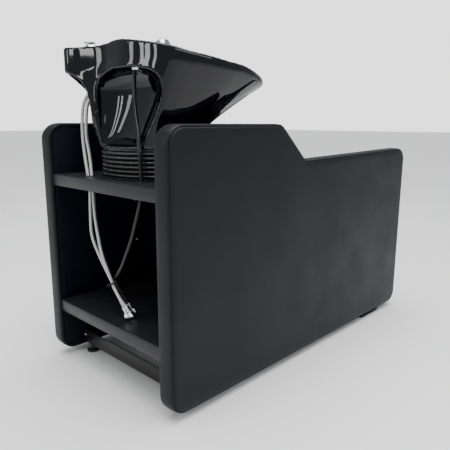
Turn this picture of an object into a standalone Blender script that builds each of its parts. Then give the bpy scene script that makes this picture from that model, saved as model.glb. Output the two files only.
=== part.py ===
"""Shampoo backwash unit: upholstered side panels, shelves, seat and a tilting ceramic basin.

Metres, +Z up, origin on the floor at the centre of the footprint. The client sits facing -Y
with the head at the basin on the +Y end; +X is the client's left.
"""
import math

import bmesh
import bpy
from mathutils import Matrix, Vector

GAP = 0.0003

# Overall frame
WIDTH = 0.600
LENGTH = 1.208
PANEL_T = 0.0525
PANEL_BOTTOM = 0.019
PANEL_TOP = 0.740
ARM_REAR_Z = 0.6335
ARM_FRONT_Z = 0.648
STEP_TOP_Y = 0.186
STEP_FOOT_Y = 0.066
BOARD_T = 0.019
COVER_RIM = 0.012

# Shelves, rails and feet
SHEET = 0.002
SHELF_REAR = 0.597
SHELF_FRONT = 0.236
UPPER_TOP = 0.5905
UPPER_EDGE = 0.0335
LOWER_TOP = 0.194
LOWER_EDGE = 0.036
RAIL_REAR = 0.522
RAIL_LEG = 0.024
RAIL_HEIGHT = 0.044
RAIL_SHEET = 0.003
RAIL_BOTTOM = 0.027
FOOT_X = 0.222
FOOT_STEM_TOP = 0.052
BASE_BOARD_Y = (-0.487, -0.363)
BASE_BOARD_X = 0.284

# Seat and back
SEAT_BOARD_TOP = 0.330
SEAT_TOP = 0.425
SEAT_FRONT = -0.578
SEAT_REAR = 0.007
BACK_LOW = Vector((0.0, 0.075, 0.355))
BACK_LENGTH = 0.372
BACK_LEAN = math.radians(17.0)
BOARD_15 = 0.015
BACK_PAD = 0.068

# Basin
RIM_CENTRE = Vector((0.0, 0.330))
BASE_CENTRE = Vector((0.0, 0.440))
BASE_RADII = (0.1450, 0.1110)
PEDESTAL_Z = 0.6730
DECK_Z = 0.897
DECK_T = 0.012
WALL = 0.013
DRAIN = Vector((0.0, 0.395, 0.737))
DRAIN_R = 0.022
BASIN_SIDES = 48

# angle in degrees about the rim's centre, radius, rim height, height of the upright band
RIM = (
    (13.0, 0.2130, 0.9160, 0.030),
    (25.0, 0.2370, 0.9280, 0.045),
    (36.0, 0.2800, 0.9420, 0.070),
    (43.0, 0.3090, 0.9500, 0.080),
    (49.0, 0.3060, 0.9520, 0.080),
    (55.0, 0.2560, 0.9510, 0.070),
    (62.0, 0.2180, 0.9510, 0.060),
    (72.0, 0.1960, 0.9540, 0.050),
    (90.0, 0.1906, 0.9576, 0.045),
    (117.7, 0.2044, 0.9460, 0.040),
    (138.0, 0.2224, 0.9330, 0.035),
    (151.0, 0.2170, 0.9210, 0.030),
    (167.0, 0.2096, 0.9130, 0.026),
    (185.0, 0.2118, 0.9040, 0.024),
    (202.0, 0.2256, 0.8975, 0.022),
    (218.0, 0.2469, 0.8835, 0.022),
    (229.0, 0.2624, 0.8760, 0.022),
    (239.0, 0.2720, 0.8720, 0.022),
    (248.6, 0.2400, 0.8540, 0.022),
    (270.0, 0.1950, 0.8280, 0.022),
    (291.4, 0.2400, 0.8540, 0.022),
    (301.0, 0.2720, 0.8720, 0.022),
    (311.0, 0.2624, 0.8760, 0.022),
    (322.0, 0.2469, 0.8835, 0.022),
    (338.0, 0.2256, 0.8975, 0.022),
    (355.0, 0.2118, 0.9050, 0.024),
)

# height, centre, half width and depth of the arched recess behind the pedestal
RECESS = (
    (0.680, -0.006, 0.096, 0.020),
    (0.700, -0.010, 0.099, 0.038),
    (0.730, -0.016, 0.106, 0.052),
    (0.770, -0.023, 0.118, 0.066),
    (0.810, -0.028, 0.127, 0.074),
    (0.840, -0.028, 0.127, 0.074),
    (0.860, -0.027, 0.116, 0.070),
    (0.873, -0.024, 0.090, 0.064),
    (0.882, -0.018, 0.050, 0.054),
)

# Tilt, bellows and waste
TILT_AXIS = Vector((0.0, 0.405, 0.642))
BELLOWS_CENTRE = Vector((0.0, 0.440))
BELLOWS_RADII = (0.1435, 0.1085)
BELLOWS_PLEATS = 6
EAR_X = 0.072
PIN_R = 0.005

# Tap, hand shower and hoses
TAP = Vector((0.168, 0.494))
SHOWER_BORE = Vector((-0.0335, 0.4844, DECK_Z))
SHOWER_START = Vector((-0.0500, 0.4787, 0.9098))
SHOWER_AXIS = Vector((-0.898, -0.3126, 0.309)).normalized()
LEVER_TURN = math.radians(-12.0)
BALL_R = 0.0185
BALL_HEIGHT = 0.0465
SUPPLY_R = 0.005
SHOWER_HOSE_R = 0.0055
LEFT_HOLE = Vector((0.1330, 0.5430))
LEFT_HOLE_R = 0.0185
RIGHT_HOLE = Vector((-0.1130, 0.5380))
RIGHT_HOLE_R = 0.0130
TIE = Vector((0.0090, 0.5560, 0.2920))
TIE_AXIS = Vector((0.500, 0.040, 0.865)).normalized()
TIE_RUN = 0.012


def tied(across, out):
    """Three points of one hose as it runs straight through the tie."""
    side = TIE_AXIS.cross(Vector((0.0, 1.0, 0.0))).normalized()
    centre = TIE - side * across + Vector((0.0, out, 0.0))
    return tuple(tuple(centre + TIE_AXIS * run) for run in (TIE_RUN, 0.0, -TIE_RUN))


SUPPLY_LEFT_ROUTE = (
    (0.1725, 0.4985, 0.8430), (0.1785, 0.5045, 0.8250), (0.1895, 0.5155, 0.7950),
    (0.1935, 0.5205, 0.7500), (0.1880, 0.5255, 0.7000), (0.1680, 0.5330, 0.6440),
    (0.1400, 0.5430, 0.5905), (0.1230, 0.5490, 0.5450), (0.1150, 0.5560, 0.4800),
    (0.1060, 0.5600, 0.4200), (0.0780, 0.5590, 0.3700),
    *tied(0.0062, 0.0),
    (-0.0180, 0.5545, 0.2500), (-0.0360, 0.5520, 0.2235),
)
SUPPLY_RIGHT_ROUTE = (
    (0.1635, 0.4895, 0.8430), (0.1700, 0.4960, 0.8250), (0.1810, 0.5070, 0.7950),
    (0.1855, 0.5120, 0.7500), (0.1790, 0.5180, 0.7000), (0.1550, 0.5250, 0.6440),
    (0.1270, 0.5380, 0.5905), (0.1080, 0.5480, 0.5450), (0.0880, 0.5580, 0.4800),
    (0.0640, 0.5650, 0.4200), (0.0440, 0.5660, 0.3650),
    *tied(-0.0031, 0.0056),
    (-0.0260, 0.5590, 0.2540), (-0.0520, 0.5530, 0.2300),
)
SHOWER_HOSE_ROUTE = (
    tuple(SHOWER_START - SHOWER_AXIS * 0.0026), (-0.0364, 0.4834, 0.8998), (-0.0291, 0.4859, 0.8862),
    (-0.0267, 0.4868, 0.8715), (-0.0272, 0.4890, 0.8450), (-0.0330, 0.4940, 0.8050),
    (-0.0520, 0.5060, 0.7650), (-0.0780, 0.5200, 0.7250), (-0.0960, 0.5310, 0.6880),
    (-0.1060, 0.5350, 0.6500), (-0.1120, 0.5380, 0.5905), (-0.1107, 0.5440, 0.5374),
    (-0.0934, 0.5470, 0.4834), (-0.0753, 0.5490, 0.4359), (-0.0534, 0.5500, 0.3945),
    (-0.0260, 0.5490, 0.3510), (-0.0035, 0.5488, 0.3230),
    *tied(-0.0031, -0.0061),
    (-0.0175, 0.5340, 0.2460), (-0.0270, 0.5280, 0.2270),
)

MODEL = None
CUTTERS = None


# ---------------------------------------------------------------- scene set-up

def clear_scene():
    for item in list(bpy.data.objects):
        bpy.data.objects.remove(item, do_unlink=True)


def new_collection(name):
    made = bpy.data.collections.new(name)
    bpy.context.scene.collection.children.link(made)
    return made


def material(name, colour, roughness, metallic=0.0):
    made = bpy.data.materials.new(name)
    made.use_nodes = True
    shader = made.node_tree.nodes["Principled BSDF"]
    shader.inputs["Base Color"].default_value = (*colour, 1.0)
    shader.inputs["Roughness"].default_value = roughness
    shader.inputs["Metallic"].default_value = metallic
    return made


def add_part(name, data, finish):
    """Put a mesh or curve in the model as a named sub-part with its own material."""
    part = bpy.data.objects.new(name, data)
    MODEL.objects.link(part)
    data.materials.clear()
    data.materials.append(material(name, *finish))
    return part


def add_cutter(name, data):
    cutter = bpy.data.objects.new(name, data)
    CUTTERS.objects.link(cutter)
    cutter.hide_render = True
    cutter.display_type = "WIRE"
    return cutter


def hang_on(empty, *parts):
    """Parent parts to a joint's empty without moving them."""
    for part in parts:
        part.parent = empty
        part.matrix_parent_inverse = empty.matrix_basis.inverted()


def joint_empty(name, place):
    empty = bpy.data.objects.new(name, None)
    empty.location = place
    MODEL.objects.link(empty)
    return empty


# ---------------------------------------------------------------- shape helpers

def boolean(part, cutter, operation="DIFFERENCE"):
    step = part.modifiers.new(operation.title(), "BOOLEAN")
    step.operation = operation
    step.object = cutter
    step.solver = "EXACT"


def bevel(part, width, segments=2):
    step = part.modifiers.new("Bevel", "BEVEL")
    step.width = width
    step.segments = segments
    step.limit_method = "ANGLE"
    step.angle_limit = math.radians(40.0)


def mesh_from(name, bm):
    mesh = bpy.data.meshes.new(name)
    bm.to_mesh(mesh)
    bm.free()
    return mesh


def box_mesh(name, low, high):
    low, high = Vector(low), Vector(high)
    bm = bmesh.new()
    size = Matrix.Diagonal((*(high - low), 1.0))
    bmesh.ops.create_cube(bm, size=1.0, matrix=Matrix.Translation((low + high) / 2) @ size)
    return mesh_from(name, bm)


def box(name, low, high, finish, round_by=0.0):
    part = add_part(name, box_mesh(name, low, high), finish)
    if round_by:
        bevel(part, round_by)
    return part


def round_corners(corners, steps=5):
    """A closed outline whose corners (u, v, radius) are rounded by arcs."""
    outline = []
    for index, (u, v, radius) in enumerate(corners):
        here = Vector((u, v))
        before = (Vector(corners[index - 1][:2]) - here).normalized()
        after = (Vector(corners[(index + 1) % len(corners)][:2]) - here).normalized()
        half = before.angle(after) / 2
        centre = here + (before + after).normalized() * radius / math.sin(half)
        first = here + before * radius / math.tan(half) - centre
        last = here + after * radius / math.tan(half) - centre
        turn = first.angle_signed(last)
        for step in range(steps + 1):
            outline.append(centre + Matrix.Rotation(-turn * step / steps, 2) @ first)
    return outline


def circle_outline(centre, radius, sides=20):
    angles = [2 * math.pi * step / sides for step in range(sides)]
    return [Vector((centre[0] + radius * math.cos(a), centre[1] + radius * math.sin(a))) for a in angles]


PLANES = {
    "X": Matrix(((0, 0, 1), (1, 0, 0), (0, 1, 0))).to_4x4(),
    "Y": Matrix(((1, 0, 0), (0, 0, -1), (0, 1, 0))).to_4x4(),
    "Z": Matrix.Identity(4),
}


def plate_mesh(name, outlines, low, high, axis):
    """A flat outline, with holes, given thickness from low to high along an axis."""
    curve = bpy.data.curves.new(name, "CURVE")
    curve.dimensions = "2D"
    curve.fill_mode = "BOTH"
    curve.extrude = (high - low) / 2
    for outline in outlines:
        spline = curve.splines.new("POLY")
        spline.points.add(len(outline) - 1)
        for point, (u, v) in zip(spline.points, outline):
            point.co = (u, v, 0.0, 1.0)
        spline.use_cyclic_u = True
    guide = bpy.data.objects.new(name, curve)
    CUTTERS.objects.link(guide)
    along = -1 if axis == "Y" else 1
    guide.matrix_world = PLANES[axis] @ Matrix.Translation((0.0, 0.0, along * (low + high) / 2))
    bpy.context.view_layer.update()
    depsgraph = bpy.context.evaluated_depsgraph_get()
    mesh = bpy.data.meshes.new_from_object(guide.evaluated_get(depsgraph))
    place = guide.matrix_world.copy()
    bpy.data.objects.remove(guide, do_unlink=True)
    bm = bmesh.new()
    bm.from_mesh(mesh)
    bmesh.ops.remove_doubles(bm, verts=bm.verts, dist=0.00001)
    bm.transform(place)
    bpy.data.meshes.remove(mesh)
    return mesh_from(name, bm)


def plate(name, outlines, low, high, axis, finish):
    return add_part(name, plate_mesh(name, outlines, low, high, axis), finish)


def rectangle(low_u, low_v, high_u, high_v, radius=0.0, steps=4):
    corners = [(low_u, low_v), (high_u, low_v), (high_u, high_v), (low_u, high_v)]
    if not radius:
        return [Vector(corner) for corner in corners]
    return round_corners([(u, v, radius) for u, v in corners], steps)


def turned(name, profile, finish, segments=24, place=(0, 0, 0), axis=(0, 0, 1), closed=False):
    """A turned solid: the (radius, height) profile runs down its outer side."""
    part = add_part(name, turned_mesh(name, profile, closed), finish)
    screw(part, segments)
    part.location = place
    part.rotation_euler = Vector((0, 0, 1)).rotation_difference(Vector(axis)).to_euler()
    return part


def turned_mesh(name, profile, closed):
    bm = bmesh.new()
    verts = [bm.verts.new((radius, 0.0, height)) for radius, height in profile]
    pairs = list(zip(verts, verts[1:]))
    if closed:
        pairs.append((verts[-1], verts[0]))
    for pair in pairs:
        bm.edges.new(pair)
    return mesh_from(name, bm)


def screw(part, segments):
    step = part.modifiers.new("Screw", "SCREW")
    step.steps = segments
    step.render_steps = segments
    step.use_merge_vertices = True
    step.merge_threshold = 0.00001


def turned_cutter(name, profile, segments, place, axis=(0, 0, 1)):
    cutter = add_cutter(name, turned_mesh(name, profile, False))
    screw(cutter, segments)
    cutter.location = place
    cutter.rotation_euler = Vector((0, 0, 1)).rotation_difference(Vector(axis)).to_euler()
    return cutter


def drill(part, name, radius, low, high, axis=(0, 0, 1), segments=20):
    """Bore a round hole from the point low, high metres along the axis."""
    profile = ((0.0, high), (radius, high), (radius, 0.0), (0.0, 0.0))
    boolean(part, turned_cutter(name, profile, segments, low, axis))


def hermite(values, place):
    before, first, last, after = values
    slope_a, slope_b = (last - before) / 2, (after - first) / 2
    square, cube = place * place, place ** 3
    return (first * (2 * cube - 3 * square + 1) + slope_a * (cube - 2 * square + place)
            + last * (3 * square - 2 * cube) + slope_b * (cube - square))


def smooth_route(route, spacing):
    """Even points along one smooth curve through the route's own points."""
    points = [Vector(point) for point in route]
    ends = [2 * points[0] - points[1]] + points + [2 * points[-1] - points[-2]]
    fine = []
    for index in range(len(points) - 1):
        fine += [hermite(ends[index:index + 4], step / 16) for step in range(16)]
    fine.append(points[-1])
    lengths = [0.0]
    for before, after in zip(fine, fine[1:]):
        lengths.append(lengths[-1] + (after - before).length)
    count = max(2, round(lengths[-1] / spacing))
    even, index = [], 0
    for step in range(count + 1):
        wanted = lengths[-1] * step / count
        while index < len(fine) - 2 and lengths[index + 1] < wanted:
            index += 1
        share = (wanted - lengths[index]) / (lengths[index + 1] - lengths[index])
        even.append(fine[index].lerp(fine[index + 1], share))
    return even


def ring_nut(name, centre, outer, bore, low, height, finish, sides=6):
    outlines = [circle_outline(centre, outer, sides), circle_outline(centre, bore, 24)]
    return plate(name, outlines, low, low + height, "Z", finish)


def tube(name, points, radius, finish, resolution=2, cyclic=False):
    curve = bpy.data.curves.new(name, "CURVE")
    curve.dimensions = "3D"
    curve.bevel_depth = radius
    curve.bevel_resolution = resolution
    curve.use_fill_caps = not cyclic
    spline = curve.splines.new("POLY")
    spline.points.add(len(points) - 1)
    for point, place in zip(spline.points, points):
        point.co = (*place, 1.0)
    spline.use_cyclic_u = cyclic
    return add_part(name, curve, finish)


def loft_mesh(name, rings, close=True):
    """Skin between rings of equal point counts that run anticlockwise, lowest ring first."""
    bm = bmesh.new()
    rows = [[bm.verts.new(point) for point in ring] for ring in rings]
    for lower, upper in zip(rows, rows[1:]):
        for index in range(len(lower)):
            ahead = (index + 1) % len(lower)
            bm.faces.new((lower[index], lower[ahead], upper[ahead], upper[index]))
    if close:
        bm.faces.new(list(reversed(rows[0])))
        bm.faces.new(rows[-1])
    return mesh_from(name, bm)


# ---------------------------------------------------------------- finishes

VINYL = ((0.020, 0.021, 0.023), 0.55)
BOARD = ((0.030, 0.030, 0.032), 0.60)
STEEL_PAINT = ((0.055, 0.055, 0.058), 0.45)
BLACK_STEEL = ((0.015, 0.015, 0.016), 0.45)
CERAMIC = ((0.006, 0.006, 0.008), 0.06)
RUBBER = ((0.010, 0.010, 0.010), 0.35)
CHROME = ((0.80, 0.80, 0.82), 0.08, 1.0)
STEEL = ((0.55, 0.55, 0.56), 0.30, 1.0)
BRAID = ((0.45, 0.45, 0.45), 0.35, 1.0)
PLASTIC = ((0.012, 0.012, 0.012), 0.40)
GLOSS_PLASTIC = ((0.010, 0.010, 0.012), 0.15)
PLYWOOD = ((0.45, 0.32, 0.20), 0.60)


# ---------------------------------------------------------------- side panels and frame

def side_outline(shrink=0.0):
    """Side view of a panel: high at the rear, sloping down to the armrest."""
    rear = LENGTH / 2 - shrink
    front = -LENGTH / 2 + shrink
    top, bottom = PANEL_TOP - shrink, PANEL_BOTTOM + shrink
    slant = shrink * 0.42
    return round_corners((
        (rear, bottom, 0.050 - shrink),
        (rear, top, 0.050 - shrink),
        (STEP_TOP_Y + slant, top, 0.035),
        (STEP_FOOT_Y + slant, ARM_REAR_Z - shrink, 0.030),
        (front, ARM_FRONT_Z - shrink, 0.048 - shrink),
        (front, bottom, 0.045 - shrink),
    ), steps=6)


def side_panel(side):
    """A stiff board and the padded vinyl cover that wraps its outer face and edges."""
    label = "left" if side > 0 else "right"
    outer, inner = side * WIDTH / 2, side * (WIDTH / 2 - PANEL_T)
    board_face = inner + side * BOARD_T
    low, high = sorted((inner, board_face))
    plate("side_board_" + label, [side_outline(COVER_RIM)], low, high, "X", BOARD)
    low, high = sorted((inner, outer))
    cover = plate("side_cover_" + label, [side_outline()], low, high, "X", VINYL)
    bevel(cover, 0.007, 2)
    pocket_low, pocket_high = sorted((inner - side * 0.010, board_face + side * GAP))
    pocket = plate_mesh("pocket_" + label, [side_outline(COVER_RIM - GAP)], pocket_low, pocket_high, "X")
    boolean(cover, add_cutter("pocket_" + label, pocket))


def folded_shelf(name, top, edge, holes, finish):
    """A folded sheet: a flat top with a flange turned down on every side."""
    half = WIDTH / 2 - PANEL_T - GAP
    outline = rectangle(-half, SHELF_FRONT, half, SHELF_REAR)
    shelf = plate(name, [outline] + holes, top - edge, top, "Z", finish)
    bevel(shelf, 0.0012, 1)
    low = (-half + SHEET, SHELF_FRONT + SHEET, top - edge - 0.010)
    high = (half - SHEET, SHELF_REAR - SHEET, top - SHEET)
    boolean(shelf, add_cutter(name + "_hollow", box_mesh(name + "_hollow", low, high)))
    return shelf


def shelves():
    holes = [
        circle_outline(LEFT_HOLE, LEFT_HOLE_R),
        circle_outline(RIGHT_HOLE, RIGHT_HOLE_R),
        circle_outline((0.0, DRAIN.y), 0.034),
    ]
    folded_shelf("upper_shelf", UPPER_TOP, UPPER_EDGE, holes, STEEL_PAINT)
    folded_shelf("lower_shelf", LOWER_TOP, LOWER_EDGE, [], STEEL_PAINT)


def grommet(name, hole, hole_radius, bore):
    """A rubber ring with a lip above and below the sheet."""
    lip, waist = hole_radius + 0.003, hole_radius - GAP
    above, below = GAP, -SHEET - GAP
    profile = (
        (bore, above + 0.0015), (lip, above + 0.0015), (lip, above), (waist, above),
        (waist, below), (lip, below), (lip, below - 0.0015), (bore, below - 0.0015),
    )
    turned(name, profile, RUBBER, 20, (hole.x, hole.y, UPPER_TOP), closed=True)


def rails_and_base():
    """Angle rail that carries the rear feet, the front base board and the lining."""
    inner = WIDTH / 2 - PANEL_T - GAP
    front, low, high = RAIL_REAR - RAIL_LEG, RAIL_BOTTOM, RAIL_BOTTOM + RAIL_HEIGHT
    section = [
        Vector((RAIL_REAR, low)), Vector((RAIL_REAR, high)), Vector((RAIL_REAR - RAIL_SHEET, high)),
        Vector((RAIL_REAR - RAIL_SHEET, low + RAIL_SHEET)), Vector((front, low + RAIL_SHEET)),
        Vector((front, low)),
    ]
    rail = plate("rear_rail", [section], -inner, inner, "X", BLACK_STEEL)
    base_low = (-BASE_BOARD_X, BASE_BOARD_Y[0], 0.0)
    base_high = (BASE_BOARD_X, BASE_BOARD_Y[1], PANEL_BOTTOM - GAP)
    box("front_base_board", base_low, base_high, BOARD, 0.001)
    lining_low = (-inner, SHELF_FRONT - BOARD_15 - GAP, PANEL_BOTTOM + 0.060)
    lining_high = (inner, SHELF_FRONT - GAP, UPPER_TOP - 0.004)
    box("rear_lining", lining_low, lining_high, BOARD)
    for side in (1, -1):
        levelling_foot(side, rail)


def levelling_foot(side, rail):
    """A pad with a threaded stem through the rail's lower leg, and the nut that holds it."""
    label = "left" if side > 0 else "right"
    x, y = side * FOOT_X, RAIL_REAR - RAIL_LEG / 2 - 0.0015
    empty = joint_empty("foot_axis_" + label, (x, y, 0.0))
    profile = (
        (0.0, FOOT_STEM_TOP), (0.004, FOOT_STEM_TOP), (0.004, 0.0165), (0.0085, 0.0160), (0.0090, 0.0090),
        (0.0175, 0.0070), (0.0200, 0.0045), (0.0200, 0.0), (0.0, 0.0),
    )
    foot = turned("levelling_foot_" + label, profile, PLASTIC, 24, (x, y, 0.0))
    nut_low = RAIL_BOTTOM - GAP - 0.0065
    ring_nut("foot_lock_nut_" + label, (x, y), 0.0080, 0.0044, nut_low, 0.0065, STEEL)
    drill(rail, "foot_hole_" + label, 0.0044, (x, y, RAIL_BOTTOM - 0.010), 0.020)
    hang_on(empty, foot)


# ---------------------------------------------------------------- seat and back

def seat():
    inner = WIDTH / 2 - PANEL_T - GAP
    under = SEAT_BOARD_TOP - BOARD_15 - GAP
    for side, label in ((1, "left"), (-1, "right")):
        low_x, high_x = sorted((side * inner, side * (inner - 0.032)))
        low = (low_x, SEAT_FRONT + 0.035, under - 0.032)
        box("seat_rail_" + label, low, (high_x, SEAT_REAR + 0.030, under), BOARD, 0.0015)
    front_low = (-inner, SEAT_FRONT + 0.012, under - 0.075)
    box("seat_front_rail", front_low, (inner, SEAT_FRONT + 0.0345, under), BOARD, 0.0015)
    board_low = (-inner, SEAT_FRONT + 0.004, SEAT_BOARD_TOP - BOARD_15)
    box("seat_board", board_low, (inner, SEAT_REAR + 0.030, SEAT_BOARD_TOP), PLYWOOD)
    pad_low = (-inner + 0.002, SEAT_FRONT, SEAT_BOARD_TOP + GAP)
    pad = box("seat_cushion", pad_low, (inner - 0.002, SEAT_REAR, SEAT_TOP), VINYL)
    bevel(pad, 0.018, 3)


def back():
    """A leaning board on two cleats, with the back cushion in front of it."""
    inner = WIDTH / 2 - PANEL_T - GAP
    lean = Matrix.Translation(BACK_LOW) @ Matrix.Rotation(-BACK_LEAN, 4, "X")
    board = box("back_board", (-inner, 0.0, 0.0), (inner, BOARD_15, BACK_LENGTH - 0.006), PLYWOOD)
    pad_low = (-inner + 0.002, -BACK_PAD, 0.0)
    pad = box("back_cushion", pad_low, (inner - 0.002, -GAP, BACK_LENGTH), VINYL)
    bevel(pad, 0.018, 3)
    parts = [board, pad]
    for side, label in ((1, "left"), (-1, "right")):
        low_x, high_x = sorted((side * inner, side * (inner - 0.030)))
        low = (low_x, BOARD_15 + GAP, 0.010)
        parts.append(box("back_cleat_" + label, low, (high_x, BOARD_15 + 0.030, 0.270), BOARD, 0.0015))
    for part in parts:
        part.data.transform(lean)


# ---------------------------------------------------------------- basin

def rim_value(angle, column):
    """Radius, height or band of the rim at any angle, on a smooth closed curve."""
    angle = (angle - RIM[0][0]) % 360.0 + RIM[0][0]
    count = len(RIM)
    index = max(step for step in range(count) if RIM[step][0] <= angle)
    start = RIM[index][0]
    span = (RIM[(index + 1) % count][0] - start) % 360.0
    values = [RIM[(index + offset) % count][column] for offset in (-1, 0, 1, 2)]
    return hermite(values, (angle - start) / span)


def rim_point(angle, inset=0.0):
    radius = rim_value(angle, 1) - inset
    turn = math.radians(angle)
    return RIM_CENTRE + radius * Vector((math.cos(turn), math.sin(turn)))


def base_point(angle, inset=0.0):
    turn = math.radians(angle)
    across, along = BASE_RADII[0] - inset, BASE_RADII[1] - inset
    return BASE_CENTRE + Vector((across * math.cos(turn), along * math.sin(turn)))


def skirt_point(angle, height, inset=0.0, draw=1.0):
    """A point of the outer wall, which spreads from the pedestal to the rim."""
    band_z = rim_value(angle, 2) - rim_value(angle, 3)
    rise = min(max((height - PEDESTAL_Z) / (band_z - PEDESTAL_Z), 0.0), 1.0)
    spread = rise ** 1.25
    point = base_point(angle, inset).lerp(rim_point(angle, inset), spread)
    centre = BASE_CENTRE.lerp(RIM_CENTRE, spread)
    point = centre + (point - centre) * draw
    return Vector((point.x, point.y, height))


def basin_angles():
    return [360.0 * step / BASIN_SIDES for step in range(BASIN_SIDES)]


def mouth_point(angle):
    """Edge where the deck turns down into the bowl."""
    turn = math.radians(angle)
    rear = 0.112 + 0.068 * abs(math.cos(turn)) ** 1.6
    radius = min(rim_value(angle, 1) - 0.032, rear) if math.sin(turn) > -0.2 else rim_value(angle, 1) - 0.032
    if -0.2 < math.sin(turn) <= 0.0:
        share = (math.sin(turn) + 0.2) / 0.2
        radius = radius * share + (rim_value(angle, 1) - 0.032) * (1 - share)
    height = min(rim_value(angle, 2) - 0.016, DECK_Z - 0.002)
    flat = RIM_CENTRE + radius * Vector((math.cos(turn), math.sin(turn)))
    return Vector((flat.x, flat.y, height))


def bowl_point(angle, share):
    """A point of the bowl's inside, share 0 at its mouth and 1 at the drain."""
    mouth = mouth_point(angle)
    turn = math.radians(angle)
    foot = DRAIN + 0.036 * Vector((math.cos(turn), math.sin(turn), 0.0))
    swing = share * math.pi / 2
    level = math.cos(swing) ** 0.8
    drop = math.sin(swing) ** 0.8
    point = foot.lerp(mouth, level)
    point.z = mouth.z + (foot.z - mouth.z) * drop
    wall = skirt_point(angle, point.z, WALL)
    axis = Vector((0.0, 0.375, point.z))
    if (point - axis).length > (wall - axis).length:
        point = wall
    return point


def basin_rings():
    """Rings up the outside, over the rim, across the deck and down the bowl."""
    angles = basin_angles()
    rings = []
    for share in (0.0, 0.12, 0.28, 0.46, 0.64, 0.82, 1.0):
        ring = []
        for angle in angles:
            band_z = rim_value(angle, 2) - rim_value(angle, 3)
            ring.append(skirt_point(angle, PEDESTAL_Z + share * (band_z - PEDESTAL_Z)))
        rings.append(ring)
    for inset, drop in ((0.0, 0.004), (0.004, 0.0), (0.009, 0.0), (WALL, 0.004)):
        ring = []
        for angle in angles:
            flat = rim_point(angle, inset)
            ring.append(Vector((flat.x, flat.y, rim_value(angle, 2) - drop)))
        rings.append(ring)
    deck = []
    for angle in angles:
        flat = rim_point(angle, WALL + 0.003)
        deck.append(Vector((flat.x, flat.y, min(DECK_Z, rim_value(angle, 2) - 0.013))))
    rings.append(deck)
    for share in (0.0, 0.15, 0.3, 0.45, 0.6, 0.75, 0.88, 1.0):
        rings.append([bowl_point(angle, share) for angle in angles])
    return rings


def recess_rings(sides=28):
    """The arched recess: half-round sections that face the rear."""
    rings = []
    for height, centre, half_width, depth in RECESS:
        ring = []
        for step in range(sides):
            turn = 2 * math.pi * step / sides
            across = half_width * math.copysign(abs(math.cos(turn)) ** 0.75, math.cos(turn))
            reach = depth if math.sin(turn) < 0 else 0.060
            along = reach * math.copysign(abs(math.sin(turn)) ** 0.75, math.sin(turn))
            ring.append(Vector((centre + across, 0.536 + along, height)))
        rings.append(ring)
    return rings


def ear_hollow_rings():
    """The space under the tap's ear, inside its walls and outside the bowl's."""
    rings = []
    for height in (0.682, 0.720, 0.755, 0.785, 0.830, DECK_Z - DECK_T):
        reach = 30.0 + 10.0 * min(max((height - 0.785) / 0.045, 0.0), 1.0)
        outer_angles = [14.0 + reach * step / 8 for step in range(9)]
        ring = [skirt_point(angle, height, 0.009) for angle in outer_angles]
        rise = min((height - 0.682) / 0.140, 1.0)
        for angle in reversed(outer_angles):
            clear = (mouth_point(angle).xy - RIM_CENTRE).length + 0.014
            draw = 0.70 + (clear / rim_value(angle, 1) - 0.70) * rise
            ring.append(skirt_point(angle, height, 0.009 * (1.0 - rise), draw))
        rings.append(ring)
    return rings


# height, reach across and reach along of the sweep that opens the ear's outer corner
EAR_SWEEP = (
    (0.640, 0.134, 0.100),
    (0.680, 0.130, 0.096),
    (0.720, 0.122, 0.092),
    (0.760, 0.117, 0.088),
    (0.800, 0.113, 0.081),
    (0.830, 0.104, 0.067),
    (0.852, 0.088, 0.050),
    (0.868, 0.064, 0.036),
    (0.878, 0.036, 0.021),
    (0.882, 0.012, 0.009),
)
EAR_CORNER = Vector((0.232, 0.562))


def ear_sweep_rings(sides=24):
    rings = []
    for height, across, along in EAR_SWEEP:
        ring = []
        for step in range(sides):
            turn = 2 * math.pi * step / sides
            place = EAR_CORNER + Vector((across * math.cos(turn), along * math.sin(turn)))
            ring.append(Vector((place.x, place.y, height)))
        rings.append(ring)
    return rings


def ellipse_rings(centre, radii, heights, sides=32):
    rings = []
    for height, grow in heights:
        ring = []
        for step in range(sides):
            turn = 2 * math.pi * step / sides
            flat = centre + Vector(((radii[0] + grow) * math.cos(turn), (radii[1] + grow) * math.sin(turn)))
            ring.append(Vector((flat.x, flat.y, height)))
        rings.append(ring)
    return rings


def basin():
    part = add_part("basin", loft_mesh("basin", basin_rings()), CERAMIC)
    cutters = (
        ("recess_cut", recess_rings()),
        ("ear_hollow_cut", ear_hollow_rings()),
        ("ear_sweep_cut", ear_sweep_rings()),
        ("pedestal_cut", ellipse_rings(Vector((0.0, 0.407)), (0.112, 0.056), ((0.660, 0.0), (0.721, -0.004)))),
    )
    for name, rings in cutters:
        boolean(part, add_cutter(name, loft_mesh(name, rings)))
    drill(part, "drain_cut", DRAIN_R, (DRAIN.x, DRAIN.y, 0.715), 0.060)
    drill(part, "tap_cut", 0.0165, (TAP.x, TAP.y, 0.860), 0.070)
    drill(part, "shower_cut", 0.0140, SHOWER_BORE - Vector((0.0, 0.0, 0.030)), 0.060)
    return part


# ---------------------------------------------------------------- tilt, bellows and waste

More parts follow.
